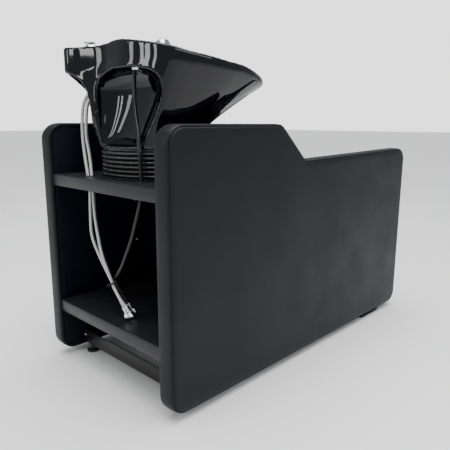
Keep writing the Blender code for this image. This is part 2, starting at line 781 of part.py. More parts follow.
def bellows():
    """Rubber bellows: an oval sleeve of pleats that closes the gap under the pedestal."""
    low, high = UPPER_TOP + GAP, PEDESTAL_Z - GAP
    flange = 0.005
    span = (high - low - 2 * flange) / BELLOWS_PLEATS
    heights = [(low, 0.004), (low + flange, 0.004)]
    for pleat in range(BELLOWS_PLEATS):
        start = low + flange + pleat * span
        heights += [(start + span * 0.16, -0.008), (start + span * 0.62, 0.0), (start + span * 0.84, 0.0)]
    heights += [(high - flange, -0.004), (high, -0.004)]
    outer = ellipse_rings(BELLOWS_CENTRE, BELLOWS_RADII, heights)
    inner = ellipse_rings(BELLOWS_CENTRE, BELLOWS_RADII, [(z, grow - 0.0035) for z, grow in heights])
    bm = bmesh.new()
    rows = [[bm.verts.new(point) for point in ring] for ring in outer + inner[::-1]]
    for index, lower in enumerate(rows):
        upper = rows[(index + 1) % len(rows)]
        for step in range(len(lower)):
            ahead = (step + 1) % len(lower)
            bm.faces.new((lower[step], lower[ahead], upper[ahead], upper[step]))
    return add_part("bellows", mesh_from("bellows", bm), RUBBER)


def tilt_bracket(tilt_axis):
    """Two plates with upright ears, one on the shelf and one under the basin, and their pins."""
    y, z = TILT_AXIS.y, TILT_AXIS.z
    base_z = UPPER_TOP + GAP
    base = add_part("tilt_base", box_mesh("tilt_base", (-EAR_X - 0.018, y - 0.040, base_z),
                                         (EAR_X + 0.018, y + 0.040, base_z + 0.003)), BLACK_STEEL)
    head_top = 0.721 - GAP
    head = add_part("tilt_head", box_mesh("tilt_head", (-EAR_X - 0.005, y - 0.031, head_top - 0.003),
                                         (EAR_X + 0.005, y + 0.031, head_top)), BLACK_STEEL)
    for side in (1, -1):
        x = side * EAR_X
        low, high = sorted((x, x + side * 0.003))
        ear_name = "base_ear_" + ("left" if side > 0 else "right")
        outline = round_corners(((y - 0.018, base_z + 0.001, 0.002), (y + 0.018, base_z + 0.001, 0.002),
                                 (y + 0.014, z + 0.013, 0.010), (y - 0.014, z + 0.013, 0.010)), 3)
        boolean(base, add_cutter(ear_name, plate_mesh(ear_name, [outline], low, high, "X")), "UNION")
        low, high = sorted((x - side * 0.0006, x - side * 0.0036))
        arm_name = "head_ear_" + ("left" if side > 0 else "right")
        outline = round_corners(((y - 0.014, z - 0.013, 0.010), (y + 0.014, z - 0.013, 0.010),
                                 (y + 0.016, head_top - 0.001, 0.002), (y - 0.016, head_top - 0.001, 0.002)), 3)
        boolean(head, add_cutter(arm_name, plate_mesh(arm_name, [outline], low, high, "X")), "UNION")
        pin_name = "tilt_pin_" + ("left" if side > 0 else "right")
        profile = (
            (0.0, 0.009), (0.008, 0.009), (0.008, 0.004), (PIN_R - 0.0001, 0.004),
            (PIN_R - 0.0001, -0.007), (0.0, -0.007),
        )
        turned(pin_name, profile, STEEL, 16, (x, y, z), (side, 0, 0))
    drill(base, "base_pin_cut", PIN_R + GAP, (-EAR_X - 0.010, y, z), 2 * EAR_X + 0.020, (1, 0, 0), 16)
    drill(head, "head_pin_cut", PIN_R + GAP, (-EAR_X - 0.010, y, z), 2 * EAR_X + 0.020, (1, 0, 0), 16)
    drill(base, "base_waste_cut", 0.034, (DRAIN.x, DRAIN.y, base_z - 0.010), 0.020)
    drill(head, "head_waste_cut", 0.028, (DRAIN.x, DRAIN.y, head_top - 0.010), 0.020)
    hang_on(tilt_axis, head)


def waste(tilt_axis, strainer_axis):
    """Strainer, flange, nut and tail of the drain."""
    x, y, z = DRAIN
    strainer_profile = (
        (0.0, 0.0085), (0.004, 0.0085), (0.005, 0.0045), (0.017, 0.0035), (0.0175, 0.0015),
        (0.0172, 0.0012), (0.0170, -0.006), (0.0158, -0.006), (0.0156, 0.0015), (0.0, 0.0018),
    )
    strainer = turned("strainer", strainer_profile, STEEL, 24, (x, y, z))
    flange_profile = (
        (0.0205, 0.0003), (0.0215, 0.0012), (0.031, 0.0006), (0.031, 0.0003), (0.0215, 0.0003),
        (0.0215, -0.034), (0.0180, -0.034), (0.0180, -0.0008),
    )
    flange = turned("waste_flange", flange_profile, CHROME, 24, (x, y, z), closed=True)
    nut = ring_nut("waste_nut", (x, y), 0.0275, 0.0222, z - 0.0335, 0.008, PLASTIC, 8)
    tail_profile = (
        (0.0178, -0.0343), (0.0205, -0.0343), (0.0205, -0.070), (0.0220, -0.076), (0.0205, -0.082),
        (0.0220, -0.088), (0.0205, -0.094), (0.0205, -0.204), (0.0178, -0.204),
    )
    tail = turned("waste_tail", tail_profile, PLASTIC, 20, (x, y, z), closed=True)
    hang_on(strainer_axis, strainer)
    hang_on(tilt_axis, flange, nut)
    return tail


# ---------------------------------------------------------------- tap and hand shower

def tap(tilt_axis, swing_axis, lever_axis):
    """Single-lever mixer: body on the ear, swivelling ball, domed lever, shank and nut."""
    x, y = TAP
    body_profile = (
        (0.0, 0.043), (0.0205, 0.043), (0.0215, 0.0415), (0.0215, 0.006), (0.0235, 0.004),
        (0.0235, GAP), (0.0, GAP),
    )
    body = turned("tap_body", body_profile, CHROME, 28, (x, y, DECK_Z))
    ball = [(0.0, BALL_HEIGHT + BALL_R)]
    for step in range(1, 7):
        turn = math.radians(90.0 - 15.0 * step)
        ball.append((BALL_R * math.cos(turn), BALL_HEIGHT + BALL_R * math.sin(turn)))
    ball += [(0.0205, BALL_HEIGHT), (0.0205, 0.0433), (0.0, 0.0433)]
    swivel = turned("tap_swivel", ball, CHROME, 28, (x, y, DECK_Z))
    shank_profile = ((0.0, 0.0), (0.0145, 0.0), (0.0145, -0.050), (0.0, -0.050))
    shank = turned("tap_shank", shank_profile, STEEL, 20, (x, y, DECK_Z))
    nut = ring_nut("tap_nut", TAP, 0.0200, 0.0150, DECK_Z - DECK_T - 0.0080, 0.007, STEEL)
    lever = tap_lever()
    hang_on(tilt_axis, body, shank, nut)
    hang_on(swing_axis, swivel)
    hang_on(lever_axis, lever)


def tap_lever():
    """A domed cap over the ball, with a flat tapering arm that points to the outer side."""
    outer, inner = BALL_R + 0.003, BALL_R + GAP
    dome = []
    for radius, turns in ((outer, range(90, 27, -12)), (inner, range(30, 91, 12))):
        for degrees in turns:
            turn = math.radians(degrees)
            dome.append((max(radius * math.cos(turn), 0.0), BALL_HEIGHT + radius * math.sin(turn)))
    dome[0] = (0.0, BALL_HEIGHT + outer)
    dome[-1] = (0.0, BALL_HEIGHT + inner)
    lever = turned("tap_lever", dome, CHROME, 28, (TAP.x, TAP.y, DECK_Z))
    sections = (
        (-0.013, 0.0110, 0.0662, 0.0725), (0.000, 0.0145, 0.0662, 0.0742), (0.012, 0.0125, 0.0655, 0.0742),
        (0.022, 0.0100, 0.0690, 0.0748), (0.034, 0.0085, 0.0718, 0.0762), (0.046, 0.0070, 0.0740, 0.0780),
    )
    rings = []
    for along, half, low, high in sections:
        rings.append([(along, -half, low), (along, half, low), (along, half, high), (along, -half, high)])
    arm = add_cutter("lever_arm", loft_mesh("lever_arm", rings))
    arm.location = (TAP.x, TAP.y, DECK_Z)
    arm.rotation_euler = (0.0, 0.0, LEVER_TURN)
    boolean(lever, arm, "UNION")
    return lever


def shower(tilt_axis, shower_axis):
    """Flanged guide in the deck, and the hand shower that rests over it."""
    guide_profile = (
        (0.0140, 0.0028), (0.0165, 0.0028), (0.0175, 0.0018), (0.0175, GAP), (0.0136, GAP),
        (0.0136, -0.0185), (0.0120, -0.0185), (0.0120, 0.0000),
    )
    guide = turned("shower_guide", guide_profile, CHROME, 24, SHOWER_BORE, closed=True)
    handle_profile = (
        (0.0, 0.036), (0.0125, 0.036), (0.0128, 0.028), (0.0120, 0.014), (0.0105, 0.005), (0.0090, 0.0),
        (0.0, 0.0),
    )
    handle = turned("shower_handle", handle_profile, GLOSS_PLASTIC, 20, SHOWER_START, SHOWER_AXIS)
    head_profile = (
        (0.0, 0.050), (0.0130, 0.0490), (0.0190, 0.045), (0.0215, 0.036), (0.0212, 0.026), (0.0180, 0.010),
        (0.0130, 0.0), (0.0, 0.0),
    )
    start = SHOWER_START + SHOWER_AXIS * (0.036 + GAP)
    head = turned("shower_head", head_profile, CHROME, 24, start, SHOWER_AXIS)
    hang_on(tilt_axis, guide)
    hang_on(shower_axis, handle, head)


# ---------------------------------------------------------------- hoses

def hoses():
    tube("supply_hose_left", smooth_route(SUPPLY_LEFT_ROUTE, 0.024), SUPPLY_R, BRAID)
    tube("supply_hose_right", smooth_route(SUPPLY_RIGHT_ROUTE, 0.024), SUPPLY_R, BRAID)
    tube("shower_hose", smooth_route(SHOWER_HOSE_ROUTE, 0.022), SHOWER_HOSE_R, GLOSS_PLASTIC)
    ends = (
        ("supply_nut_left", SUPPLY_LEFT_ROUTE, 0.0095),
        ("supply_nut_right", SUPPLY_RIGHT_ROUTE, 0.0095),
        ("shower_hose_nut", SHOWER_HOSE_ROUTE, 0.0090),
    )
    for name, route, radius in ends:
        last, before = Vector(route[-1]), Vector(route[-2])
        axis = (last - before).normalized()
        profile = (
            (0.0, 0.026), (radius * 0.70, 0.026), (radius * 0.70, 0.024), (radius, 0.0235), (radius, 0.010),
            (0.0068, 0.009), (0.0068, 0.0), (0.0, 0.0),
        )
        turned(name, profile, CHROME, 12, last + axis * GAP, axis)
    grommet("hose_grommet_left", LEFT_HOLE, LEFT_HOLE_R, LEFT_HOLE_R - 0.0015)
    grommet("hose_grommet_right", RIGHT_HOLE, RIGHT_HOLE_R, RIGHT_HOLE_R - 0.0015)


def cable_tie():
    band_profile = ((0.0128, -0.0024), (0.0128, 0.0024), (0.0140, 0.0024), (0.0140, -0.0024))
    band = turned("cable_tie", band_profile, PLASTIC, 20, TIE, TIE_AXIS, closed=True)
    head_low, head_high = (-0.0035, 0.0132, -0.0035), (0.0035, 0.0185, 0.0035)
    head = add_cutter("tie_head", box_mesh("tie_head", head_low, head_high))
    head.matrix_world = Matrix.Translation(TIE) @ band.rotation_euler.to_matrix().to_4x4()
    boolean(band, head, "UNION")


# ---------------------------------------------------------------- assembly

def main():
    global MODEL, CUTTERS
    clear_scene()
    MODEL = new_collection("shampoo_backwash_unit")
    CUTTERS = new_collection("cutters")
    for side in (1, -1):
        side_panel(side)
    shelves()
    rails_and_base()
    seat()
    back()
    tilt_axis = joint_empty("tilt_axis", TILT_AXIS)
    swing_axis = joint_empty("tap_swing_axis", (TAP.x, TAP.y, DECK_Z))
    lever_axis = joint_empty("tap_lever_axis", (TAP.x, TAP.y, DECK_Z + BALL_HEIGHT))
    strainer_axis = joint_empty("strainer_axis", DRAIN)
    shower_axis = joint_empty("shower_axis", SHOWER_START)
    hang_on(tilt_axis, basin())
    bellows()
    tilt_bracket(tilt_axis)
    waste(tilt_axis, strainer_axis)
    tap(tilt_axis, swing_axis, lever_axis)
    shower(tilt_axis, shower_axis)
    hoses()
    cable_tie()


main()
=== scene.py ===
"""Looks of the shampoo backwash unit: vinyl panels and cushions, glazed basin, tap, hoses, stage."""
import math

import bmesh
import bpy
from mathutils import Matrix, Vector
from mathutils.bvhtree import BVHTree


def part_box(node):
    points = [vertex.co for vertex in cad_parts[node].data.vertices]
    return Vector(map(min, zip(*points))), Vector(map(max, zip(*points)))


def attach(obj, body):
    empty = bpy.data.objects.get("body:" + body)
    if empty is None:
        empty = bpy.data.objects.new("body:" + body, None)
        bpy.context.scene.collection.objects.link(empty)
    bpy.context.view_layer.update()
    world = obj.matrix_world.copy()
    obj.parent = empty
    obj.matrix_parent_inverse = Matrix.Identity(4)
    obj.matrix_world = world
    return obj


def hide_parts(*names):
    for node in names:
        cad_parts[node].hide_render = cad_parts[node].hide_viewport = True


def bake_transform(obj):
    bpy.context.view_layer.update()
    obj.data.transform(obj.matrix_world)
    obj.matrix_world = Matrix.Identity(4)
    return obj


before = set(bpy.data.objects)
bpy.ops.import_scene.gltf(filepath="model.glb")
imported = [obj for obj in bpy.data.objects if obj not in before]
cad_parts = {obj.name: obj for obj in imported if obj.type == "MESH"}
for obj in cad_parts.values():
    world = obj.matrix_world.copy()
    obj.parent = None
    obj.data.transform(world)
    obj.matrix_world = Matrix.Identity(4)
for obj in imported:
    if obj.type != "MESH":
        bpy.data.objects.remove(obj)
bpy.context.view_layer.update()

bl_info = {
    "name": "Shampoo backwash unit",
    "version": (1, 0, 0),
    "blender": (4, 5, 0),
    "location": "3D View > Sidebar > Backwash",
    "description": "Builds the finished surfaces of a salon hair-wash unit around its fixed frame",
    "category": "Object",
}

# Sizes shared with the frame, in metres
WIDTH, LENGTH, PANEL_T = 0.600, 1.208, 0.0525
PANEL_BOTTOM, PANEL_TOP = 0.019, 0.740
ARM_REAR_Z, ARM_FRONT_Z = 0.6335, 0.648
STEP_TOP_Y, STEP_FOOT_Y = 0.186, 0.066
BOARD_T, COVER_RIM, GAP = 0.019, 0.012, 0.0003
UPPER_TOP, LOWER_TOP = 0.5905, 0.194
BACK_LOW, BACK_LEAN = Vector((0.0, 0.075, 0.355)), math.radians(17.0)
BACK_LENGTH, BACK_PAD = 0.372, 0.068
RIM_CENTRE, BASE_CENTRE = Vector((0.0, 0.330)), Vector((0.0, 0.440))
BASE_RADII = (0.1450, 0.1110)
PEDESTAL_Z, DECK_Z, DECK_T, WALL = 0.6730, 0.897, 0.012, 0.013
DRAIN = Vector((0.0, 0.395, 0.737))
TILT_AXIS = Vector((0.0, 0.405, 0.642))
TAP = Vector((0.168, 0.494))
SHOWER_BORE = Vector((-0.0335, 0.4844, DECK_Z))
SHOWER_START = Vector((-0.0500, 0.4787, 0.9098))
SHOWER_AXIS = Vector((-0.898, -0.3126, 0.309)).normalized()
LEVER_TURN = math.radians(-12.0)
BELLOWS_CENTRE, BELLOWS_RADII = (0.0, 0.440), (0.1435, 0.1085)
BALL_R, BALL_HEIGHT = 0.0185, 0.0465
LEFT_HOLE, LEFT_HOLE_R = Vector((0.1330, 0.5430)), 0.0185
RIGHT_HOLE, RIGHT_HOLE_R = Vector((-0.1130, 0.5380)), 0.0130
TIE = Vector((0.0090, 0.5560, 0.2920))
TIE_AXIS = Vector((0.500, 0.040, 0.865)).normalized()
FOOT_PLACE, RAIL_UNDERSIDE = (0.222, 0.5085), 0.027

# Two points, from the shelf top up to the basin, given to settle; it only bakes the hoses in place and
# attaches them to no body
HOSE_BEND = ((0.0, 0.540, UPPER_TOP), (0.0, 0.500, 0.840))
HOSE_STEP = 0.004
# Crossings of the braid's wires round a hose, and along each metre of it
BRAID_ROUND, BRAID_ALONG = 6.0, 190.0

# A cushion's cover: cell of its even mesh, air pressure under it, and frames that it swells for
COVER_CELL, FOAM_PRESSURE, SWELL_FRAMES = 0.0065, 4.0, 20
# A cushion's top seam: inset from the sides, corner radius, drop below the top, stitches' inset
SEAM_INSET, SEAM_CORNER, SEAM_DROP, STITCH_INSET = 0.010, 0.014, 0.010, 0.006
# How wide, how high and how deep the seam pulls the cover in
TUCK_WIDTH, TUCK_HEIGHT, TUCK_DEPTH = 0.008, 0.010, 0.0028
# A side panel's seam: distance from the panel's inner face, and inset from its outline
PANEL_SEAM_OUT, PANEL_SEAM_INSET = 0.0490, 0.0070

CAMERA_PLACE = (-1.148, 1.3045, 0.744)
CAMERA_TURN, CAMERA_PITCH, CAMERA_ROLL = (math.radians(angle) for angle in (223.84, 11.79, 0.19))
CAMERA_LENS_MM, SENSOR_WIDTH_MM = 39.41, 36.0
ROOM_STRENGTH, BACKDROP_STRENGTH, DAYLIGHT_STRENGTH = 0.46, 2.2, 2.2

# angle in degrees about the rim's centre, radius, rim height, height of the upright band
RIM = (
    (13.0, 0.2130, 0.9160, 0.030), (25.0, 0.2370, 0.9280, 0.045), (36.0, 0.2800, 0.9420, 0.070),
    (43.0, 0.3090, 0.9500, 0.080), (49.0, 0.3060, 0.9520, 0.080), (55.0, 0.2560, 0.9510, 0.070),
    (62.0, 0.2180, 0.9510, 0.060), (72.0, 0.1960, 0.9540, 0.050), (90.0, 0.1906, 0.9576, 0.045),
    (117.7, 0.2044, 0.9460, 0.040), (138.0, 0.2224, 0.9330, 0.035), (151.0, 0.2170, 0.9210, 0.030),
    (167.0, 0.2096, 0.9130, 0.026), (185.0, 0.2118, 0.9040, 0.024), (202.0, 0.2256, 0.8975, 0.022),
    (218.0, 0.2469, 0.8835, 0.022), (229.0, 0.2624, 0.8760, 0.022), (239.0, 0.2720, 0.8720, 0.022),
    (248.6, 0.2400, 0.8540, 0.022), (270.0, 0.1950, 0.8280, 0.022), (291.4, 0.2400, 0.8540, 0.022),
    (301.0, 0.2720, 0.8720, 0.022), (311.0, 0.2624, 0.8760, 0.022), (322.0, 0.2469, 0.8835, 0.022),
    (338.0, 0.2256, 0.8975, 0.022), (355.0, 0.2118, 0.9050, 0.024),
)
# height, centre, half width and depth of the arched recess
RECESS = (
    (0.680, -0.006, 0.096, 0.020), (0.700, -0.010, 0.099, 0.038), (0.730, -0.016, 0.106, 0.052),
    (0.770, -0.023, 0.118, 0.066), (0.810, -0.028, 0.127, 0.074), (0.840, -0.028, 0.127, 0.074),
    (0.860, -0.027, 0.116, 0.070), (0.873, -0.024, 0.090, 0.064), (0.882, -0.018, 0.050, 0.054),
)
# height, reach across and reach along of the sweep that opens the ear's outer corner
EAR_SWEEP = (
    (0.640, 0.134, 0.100), (0.680, 0.130, 0.096), (0.720, 0.122, 0.092), (0.760, 0.117, 0.088),
    (0.800, 0.113, 0.081), (0.830, 0.104, 0.067), (0.852, 0.088, 0.050), (0.868, 0.064, 0.036),
    (0.878, 0.036, 0.021), (0.882, 0.012, 0.009),
)
EAR_CORNER = Vector((0.232, 0.562))


def tied(across, out):
    """Three points of one hose as it runs straight through the tie."""
    side = TIE_AXIS.cross(Vector((0.0, 1.0, 0.0))).normalized()
    centre = TIE - side * across + Vector((0.0, out, 0.0))
    return tuple(tuple(centre + TIE_AXIS * run) for run in (0.012, 0.0, -0.012))


SUPPLY_LEFT_ROUTE = (
    (0.1725, 0.4985, 0.8430), (0.1785, 0.5045, 0.8250), (0.1895, 0.5155, 0.7950),
    (0.1935, 0.5205, 0.7500), (0.1880, 0.5255, 0.7000), (0.1680, 0.5330, 0.6440),
    (0.1400, 0.5430, 0.5905), (0.1230, 0.5490, 0.5450), (0.1150, 0.5560, 0.4800),
    (0.1060, 0.5600, 0.4200), (0.0780, 0.5590, 0.3700),
    *tied(0.0062, 0.0), (-0.0180, 0.5545, 0.2500), (-0.0360, 0.5520, 0.2235),
)
SUPPLY_RIGHT_ROUTE = (
    (0.1635, 0.4895, 0.8430), (0.1700, 0.4960, 0.8250), (0.1810, 0.5070, 0.7950),
    (0.1855, 0.5120, 0.7500), (0.1790, 0.5180, 0.7000), (0.1550, 0.5250, 0.6440),
    (0.1270, 0.5380, 0.5905), (0.1080, 0.5480, 0.5450), (0.0880, 0.5580, 0.4800),
    (0.0640, 0.5650, 0.4200), (0.0440, 0.5660, 0.3650),
    *tied(-0.0031, 0.0056), (-0.0260, 0.5590, 0.2540), (-0.0520, 0.5530, 0.2300),
)
SHOWER_HOSE_ROUTE = (
    tuple(SHOWER_START - SHOWER_AXIS * 0.0026), (-0.0364, 0.4834, 0.8998), (-0.0291, 0.4859, 0.8862),
    (-0.0267, 0.4868, 0.8715), (-0.0272, 0.4890, 0.8450), (-0.0330, 0.4940, 0.8050),
    (-0.0520, 0.5060, 0.7650), (-0.0780, 0.5200, 0.7250), (-0.0960, 0.5310, 0.6880),
    (-0.1060, 0.5350, 0.6500), (-0.1120, 0.5380, 0.5905), (-0.1107, 0.5440, 0.5374),
    (-0.0934, 0.5470, 0.4834), (-0.0753, 0.5490, 0.4359), (-0.0534, 0.5500, 0.3945),
    (-0.0260, 0.5490, 0.3510), (-0.0035, 0.5488, 0.3230),
    *tied(-0.0031, -0.0061), (-0.0175, 0.5340, 0.2460), (-0.0270, 0.5280, 0.2270),
)


# ---------------------------------------------------------------- settings

class BackwashSizes(bpy.types.PropertyGroup):
    """Sizes that a user may change"""
    piping_radius: bpy.props.FloatProperty(
        name="Piping radius", description="Radius of the welt sewn round each cushion",
        default=0.0026, min=0.001, max=0.005, unit="LENGTH")
    stitch_length: bpy.props.FloatProperty(
        name="Stitch length", description="Length of one stitch along a seam",
        default=0.0034, min=0.002, max=0.008, unit="LENGTH")
    stitch_pitch: bpy.props.FloatProperty(
        name="Stitch pitch", description="Distance from one stitch to the next",
        default=0.0048, min=0.003, max=0.012, unit="LENGTH")
    cushion_rise: bpy.props.FloatProperty(
        name="Cushion rise", description="How far the foam may push a cushion's cover out",
        default=0.012, min=0.0, max=0.02, unit="LENGTH")
    supply_radius: bpy.props.FloatProperty(
        name="Supply hose radius", description="Outer radius of the braided supply hoses",
        default=0.005, min=0.004, max=0.006, unit="LENGTH")
    shower_hose_radius: bpy.props.FloatProperty(
        name="Shower hose radius", description="Outer radius of the hand shower's hose",
        default=0.0055, min=0.004, max=0.006, unit="LENGTH")
    glaze_voxel: bpy.props.FloatProperty(
        name="Glaze cell", description="Cell size that rounds the basin's edges",
        default=0.0034, min=0.002, max=0.006, unit="LENGTH")


class BackwashColours(bpy.types.PropertyGroup):
    """Colours that a user may change"""
    vinyl: bpy.props.FloatVectorProperty(
        name="Vinyl", description="Colour of the upholstery", subtype="COLOR", size=3,
        default=(0.0075, 0.0080, 0.0100), min=0.0, max=1.0)
    glaze: bpy.props.FloatVectorProperty(
        name="Glaze", description="Colour of the basin's glaze", subtype="COLOR", size=3,
        default=(0.0015, 0.0015, 0.0030), min=0.0, max=1.0)
    shelf: bpy.props.FloatVectorProperty(
        name="Shelf paint", description="Colour of the powder-coated shelves", subtype="COLOR", size=3,
        default=(0.013, 0.013, 0.016), min=0.0, max=1.0)
    braid: bpy.props.FloatVectorProperty(
        name="Braid", description="Colour of the hoses' steel braid", subtype="COLOR", size=3,
        default=(0.62, 0.62, 0.61), min=0.0, max=1.0)


def sizes():
    return bpy.context.scene.backwash_sizes


def colours():
    return bpy.context.scene.backwash_colours


# ---------------------------------------------------------------- shader groups and finishes

def shader_group(name, inputs, outputs):
    tree = bpy.data.node_groups.new(name, "ShaderNodeTree")
    for label, kind, value in inputs:
        socket = tree.interface.new_socket(label, in_out="INPUT", socket_type="NodeSocket" + kind)
        if value is not None:
            socket.default_value = value
    for label, kind in outputs:
        tree.interface.new_socket(label, in_out="OUTPUT", socket_type="NodeSocket" + kind)
    return tree, tree.nodes.new("NodeGroupInput").outputs, tree.nodes.new("NodeGroupOutput").inputs


def add(tree, kind, links=(), **settings):
    """A node of a tree, with its settings, its fixed values and its links."""
    made = tree.nodes.new(kind)
    for key, value in settings.items():
        setattr(made, key, value)
    for socket, source in links:
        target = made.inputs[socket]
        if isinstance(source, bpy.types.NodeSocket):
            tree.links.new(source, target)
        else:
            target.default_value = source
    return made


def arithmetic(tree, operation, *values):
    """The result of one sum on numbers or sockets."""
    return add(tree, "ShaderNodeMath", tuple(enumerate(values)), operation=operation).outputs[0]


def remap(tree, value, from_low, from_high, to_low=0.0, to_high=1.0):
    """A value stretched from one range to another."""
    return add(tree, "ShaderNodeMapRange", (
        ("Value", value), ("From Min", from_low), ("From Max", from_high), ("To Min", to_low),
        ("To Max", to_high))).outputs["Result"]


def noise(tree, place, scale, detail, *more):
    return add(tree, "ShaderNodeTexNoise", (
        ("Vector", place), ("Scale", scale), ("Detail", detail), *more)).outputs


def blend_colours(tree, share, first, second):
    """A colour part way between two others."""
    return add(tree, "ShaderNodeMix", ((0, share), (6, first), (7, second)),
               data_type="RGBA").outputs[2]


def uneven_sheen():
    """Roughness that wanders between two values, as wiped and handled surfaces have."""
    tree, given, out = shader_group("uneven_sheen", (
        ("Vector", "Vector", None), ("Scale", "Float", 6.0), ("Low", "Float", 0.3),
        ("High", "Float", 0.5)), (("Roughness", "Float"),))
    wander = noise(tree, given["Vector"], given["Scale"], 6.0, ("Roughness", 0.62))
    rough = remap(tree, wander["Fac"], 0.32, 0.68, given["Low"], given["High"])
    tree.links.new(rough, out["Roughness"])
    return tree


def leather_grain():
    """Pebbled grain of embossed vinyl: cells with soft creases and a fine tooth; its second output is
    painted shade, which darkens the colour in the creases.
    """
    tree, given, out = shader_group("leather_grain", (
        ("Vector", "Vector", None), ("Scale", "Float", 700.0)),
        (("Height", "Float"), ("Shade", "Float")))
    place = given["Vector"]
    warp = noise(tree, place, 90.0, 2.0)
    bent = add(tree, "ShaderNodeVectorMath", (
        (0, warp["Color"]), (1, (0.004, 0.004, 0.004)), (2, place)), operation="MULTIPLY_ADD")
    cells = add(tree, "ShaderNodeTexVoronoi", (
        ("Vector", bent.outputs[0]), ("Scale", given["Scale"])), feature="SMOOTH_F1")
    pebbles = remap(tree, cells.outputs["Distance"], 0.1, 0.75, 1.0, 0.0)
    tooth = noise(tree, place, 2400.0, 2.0)
    tree.links.new(arithmetic(tree, "MULTIPLY_ADD", tooth["Fac"], 0.22, pebbles), out["Height"])
    # Painted shade: the creases between the pebbles get a darker colour.
    tree.links.new(pebbles, out["Shade"])
    return tree


def settled_dust():
    """A thin uneven film of dust laid over a colour."""
    tree, given, out = shader_group("settled_dust", (
        ("Vector", "Vector", None), ("Colour", "Color", (0.1, 0.1, 0.1, 1.0)),
        ("Dust", "Color", (0.35, 0.34, 0.33, 1.0)), ("Amount", "Float", 0.05)),
        (("Colour", "Color"),))
    cloud = noise(tree, given["Vector"], 4.0, 8.0)
    patch = remap(tree, cloud["Fac"], 0.42, 0.8, 0.0, given["Amount"])
    tree.links.new(blend_colours(tree, patch, given["Colour"], given["Dust"]), out["Colour"])
    return tree


def brushed_lines():
    """Fine parallel scratches along one axis, from grinding or drawing."""
    tree, given, out = shader_group("brushed_lines", (
        ("Vector", "Vector", None), ("Stretch", "Vector", (20.0, 900.0, 900.0))),
        (("Height", "Float"),))
    drawn = add(tree, "ShaderNodeVectorMath", (
        (0, given["Vector"]), (1, given["Stretch"])), operation="MULTIPLY")
    tree.links.new(noise(tree, drawn.outputs[0], 1.0, 4.0)["Fac"], out["Height"])
    return tree


def fine_tooth():
    """Orange peel of powder coat and moulded plastic."""
    tree, given, out = shader_group("fine_tooth", (
        ("Vector", "Vector", None), ("Scale", "Float", 900.0)), (("Height", "Float"),))
    peel = noise(tree, given["Vector"], given["Scale"], 3.0, ("Roughness", 0.5))
    tree.links.new(peel["Fac"], out["Height"])
    return tree


def wood_figure():
    """Long grain, running along X."""
    tree, given, out = shader_group("wood_figure", (
        ("Vector", "Vector", None), ("Light", "Color", (0.5, 0.36, 0.22, 1.0)),
        ("Dark", "Color", (0.3, 0.19, 0.1, 1.0))), (("Colour", "Color"), ("Height", "Float")))
    drawn = add(tree, "ShaderNodeVectorMath", (
        (0, given["Vector"]), (1, (3.0, 60.0, 60.0))), operation="MULTIPLY")
    grain = noise(tree, drawn.outputs[0], 1.0, 8.0, ("Distortion", 0.6))["Fac"]
    tree.links.new(blend_colours(tree, grain, given["Light"], given["Dark"]), out["Colour"])
    tree.links.new(grain, out["Height"])
    return tree


def braided_weave():
    """Crossing bands of wire round a hose, from its own unwrapped surface; its second output is
    painted shade, which darkens the colour in the gaps between the bands.
    """
    tree, given, out = shader_group("braided_weave", (
        ("Vector", "Vector", None), ("Pitch", "Float", 1.0)),
        (("Height", "Float"), ("Shade", "Float")))
    parts = add(tree, "ShaderNodeSeparateXYZ", ((0, given["Vector"]),)).outputs
    along = arithmetic(tree, "MULTIPLY", parts["Y"], given["Pitch"])
    waves = []
    for kind in ("ADD", "SUBTRACT"):
        slant = arithmetic(tree, kind, along, parts["X"])
        waves.append(arithmetic(tree, "SINE", arithmetic(tree, "MULTIPLY", slant, 2 * math.pi)))
    lifted = remap(tree, arithmetic(tree, "MAXIMUM", *waves), -0.6, 1.0)
    tree.links.new(lifted, out["Height"])
    # Painted shade: the gaps between the wires get a darker colour.
    tree.links.new(lifted, out["Shade"])
    return tree


GROUPS = {}


def group(tree, builder, links):
    """Place a shader group in a material, building it the first time."""
    if builder.__name__ not in GROUPS:
        GROUPS[builder.__name__] = builder()
    return add(tree, "ShaderNodeGroup", links, node_tree=GROUPS[builder.__name__])


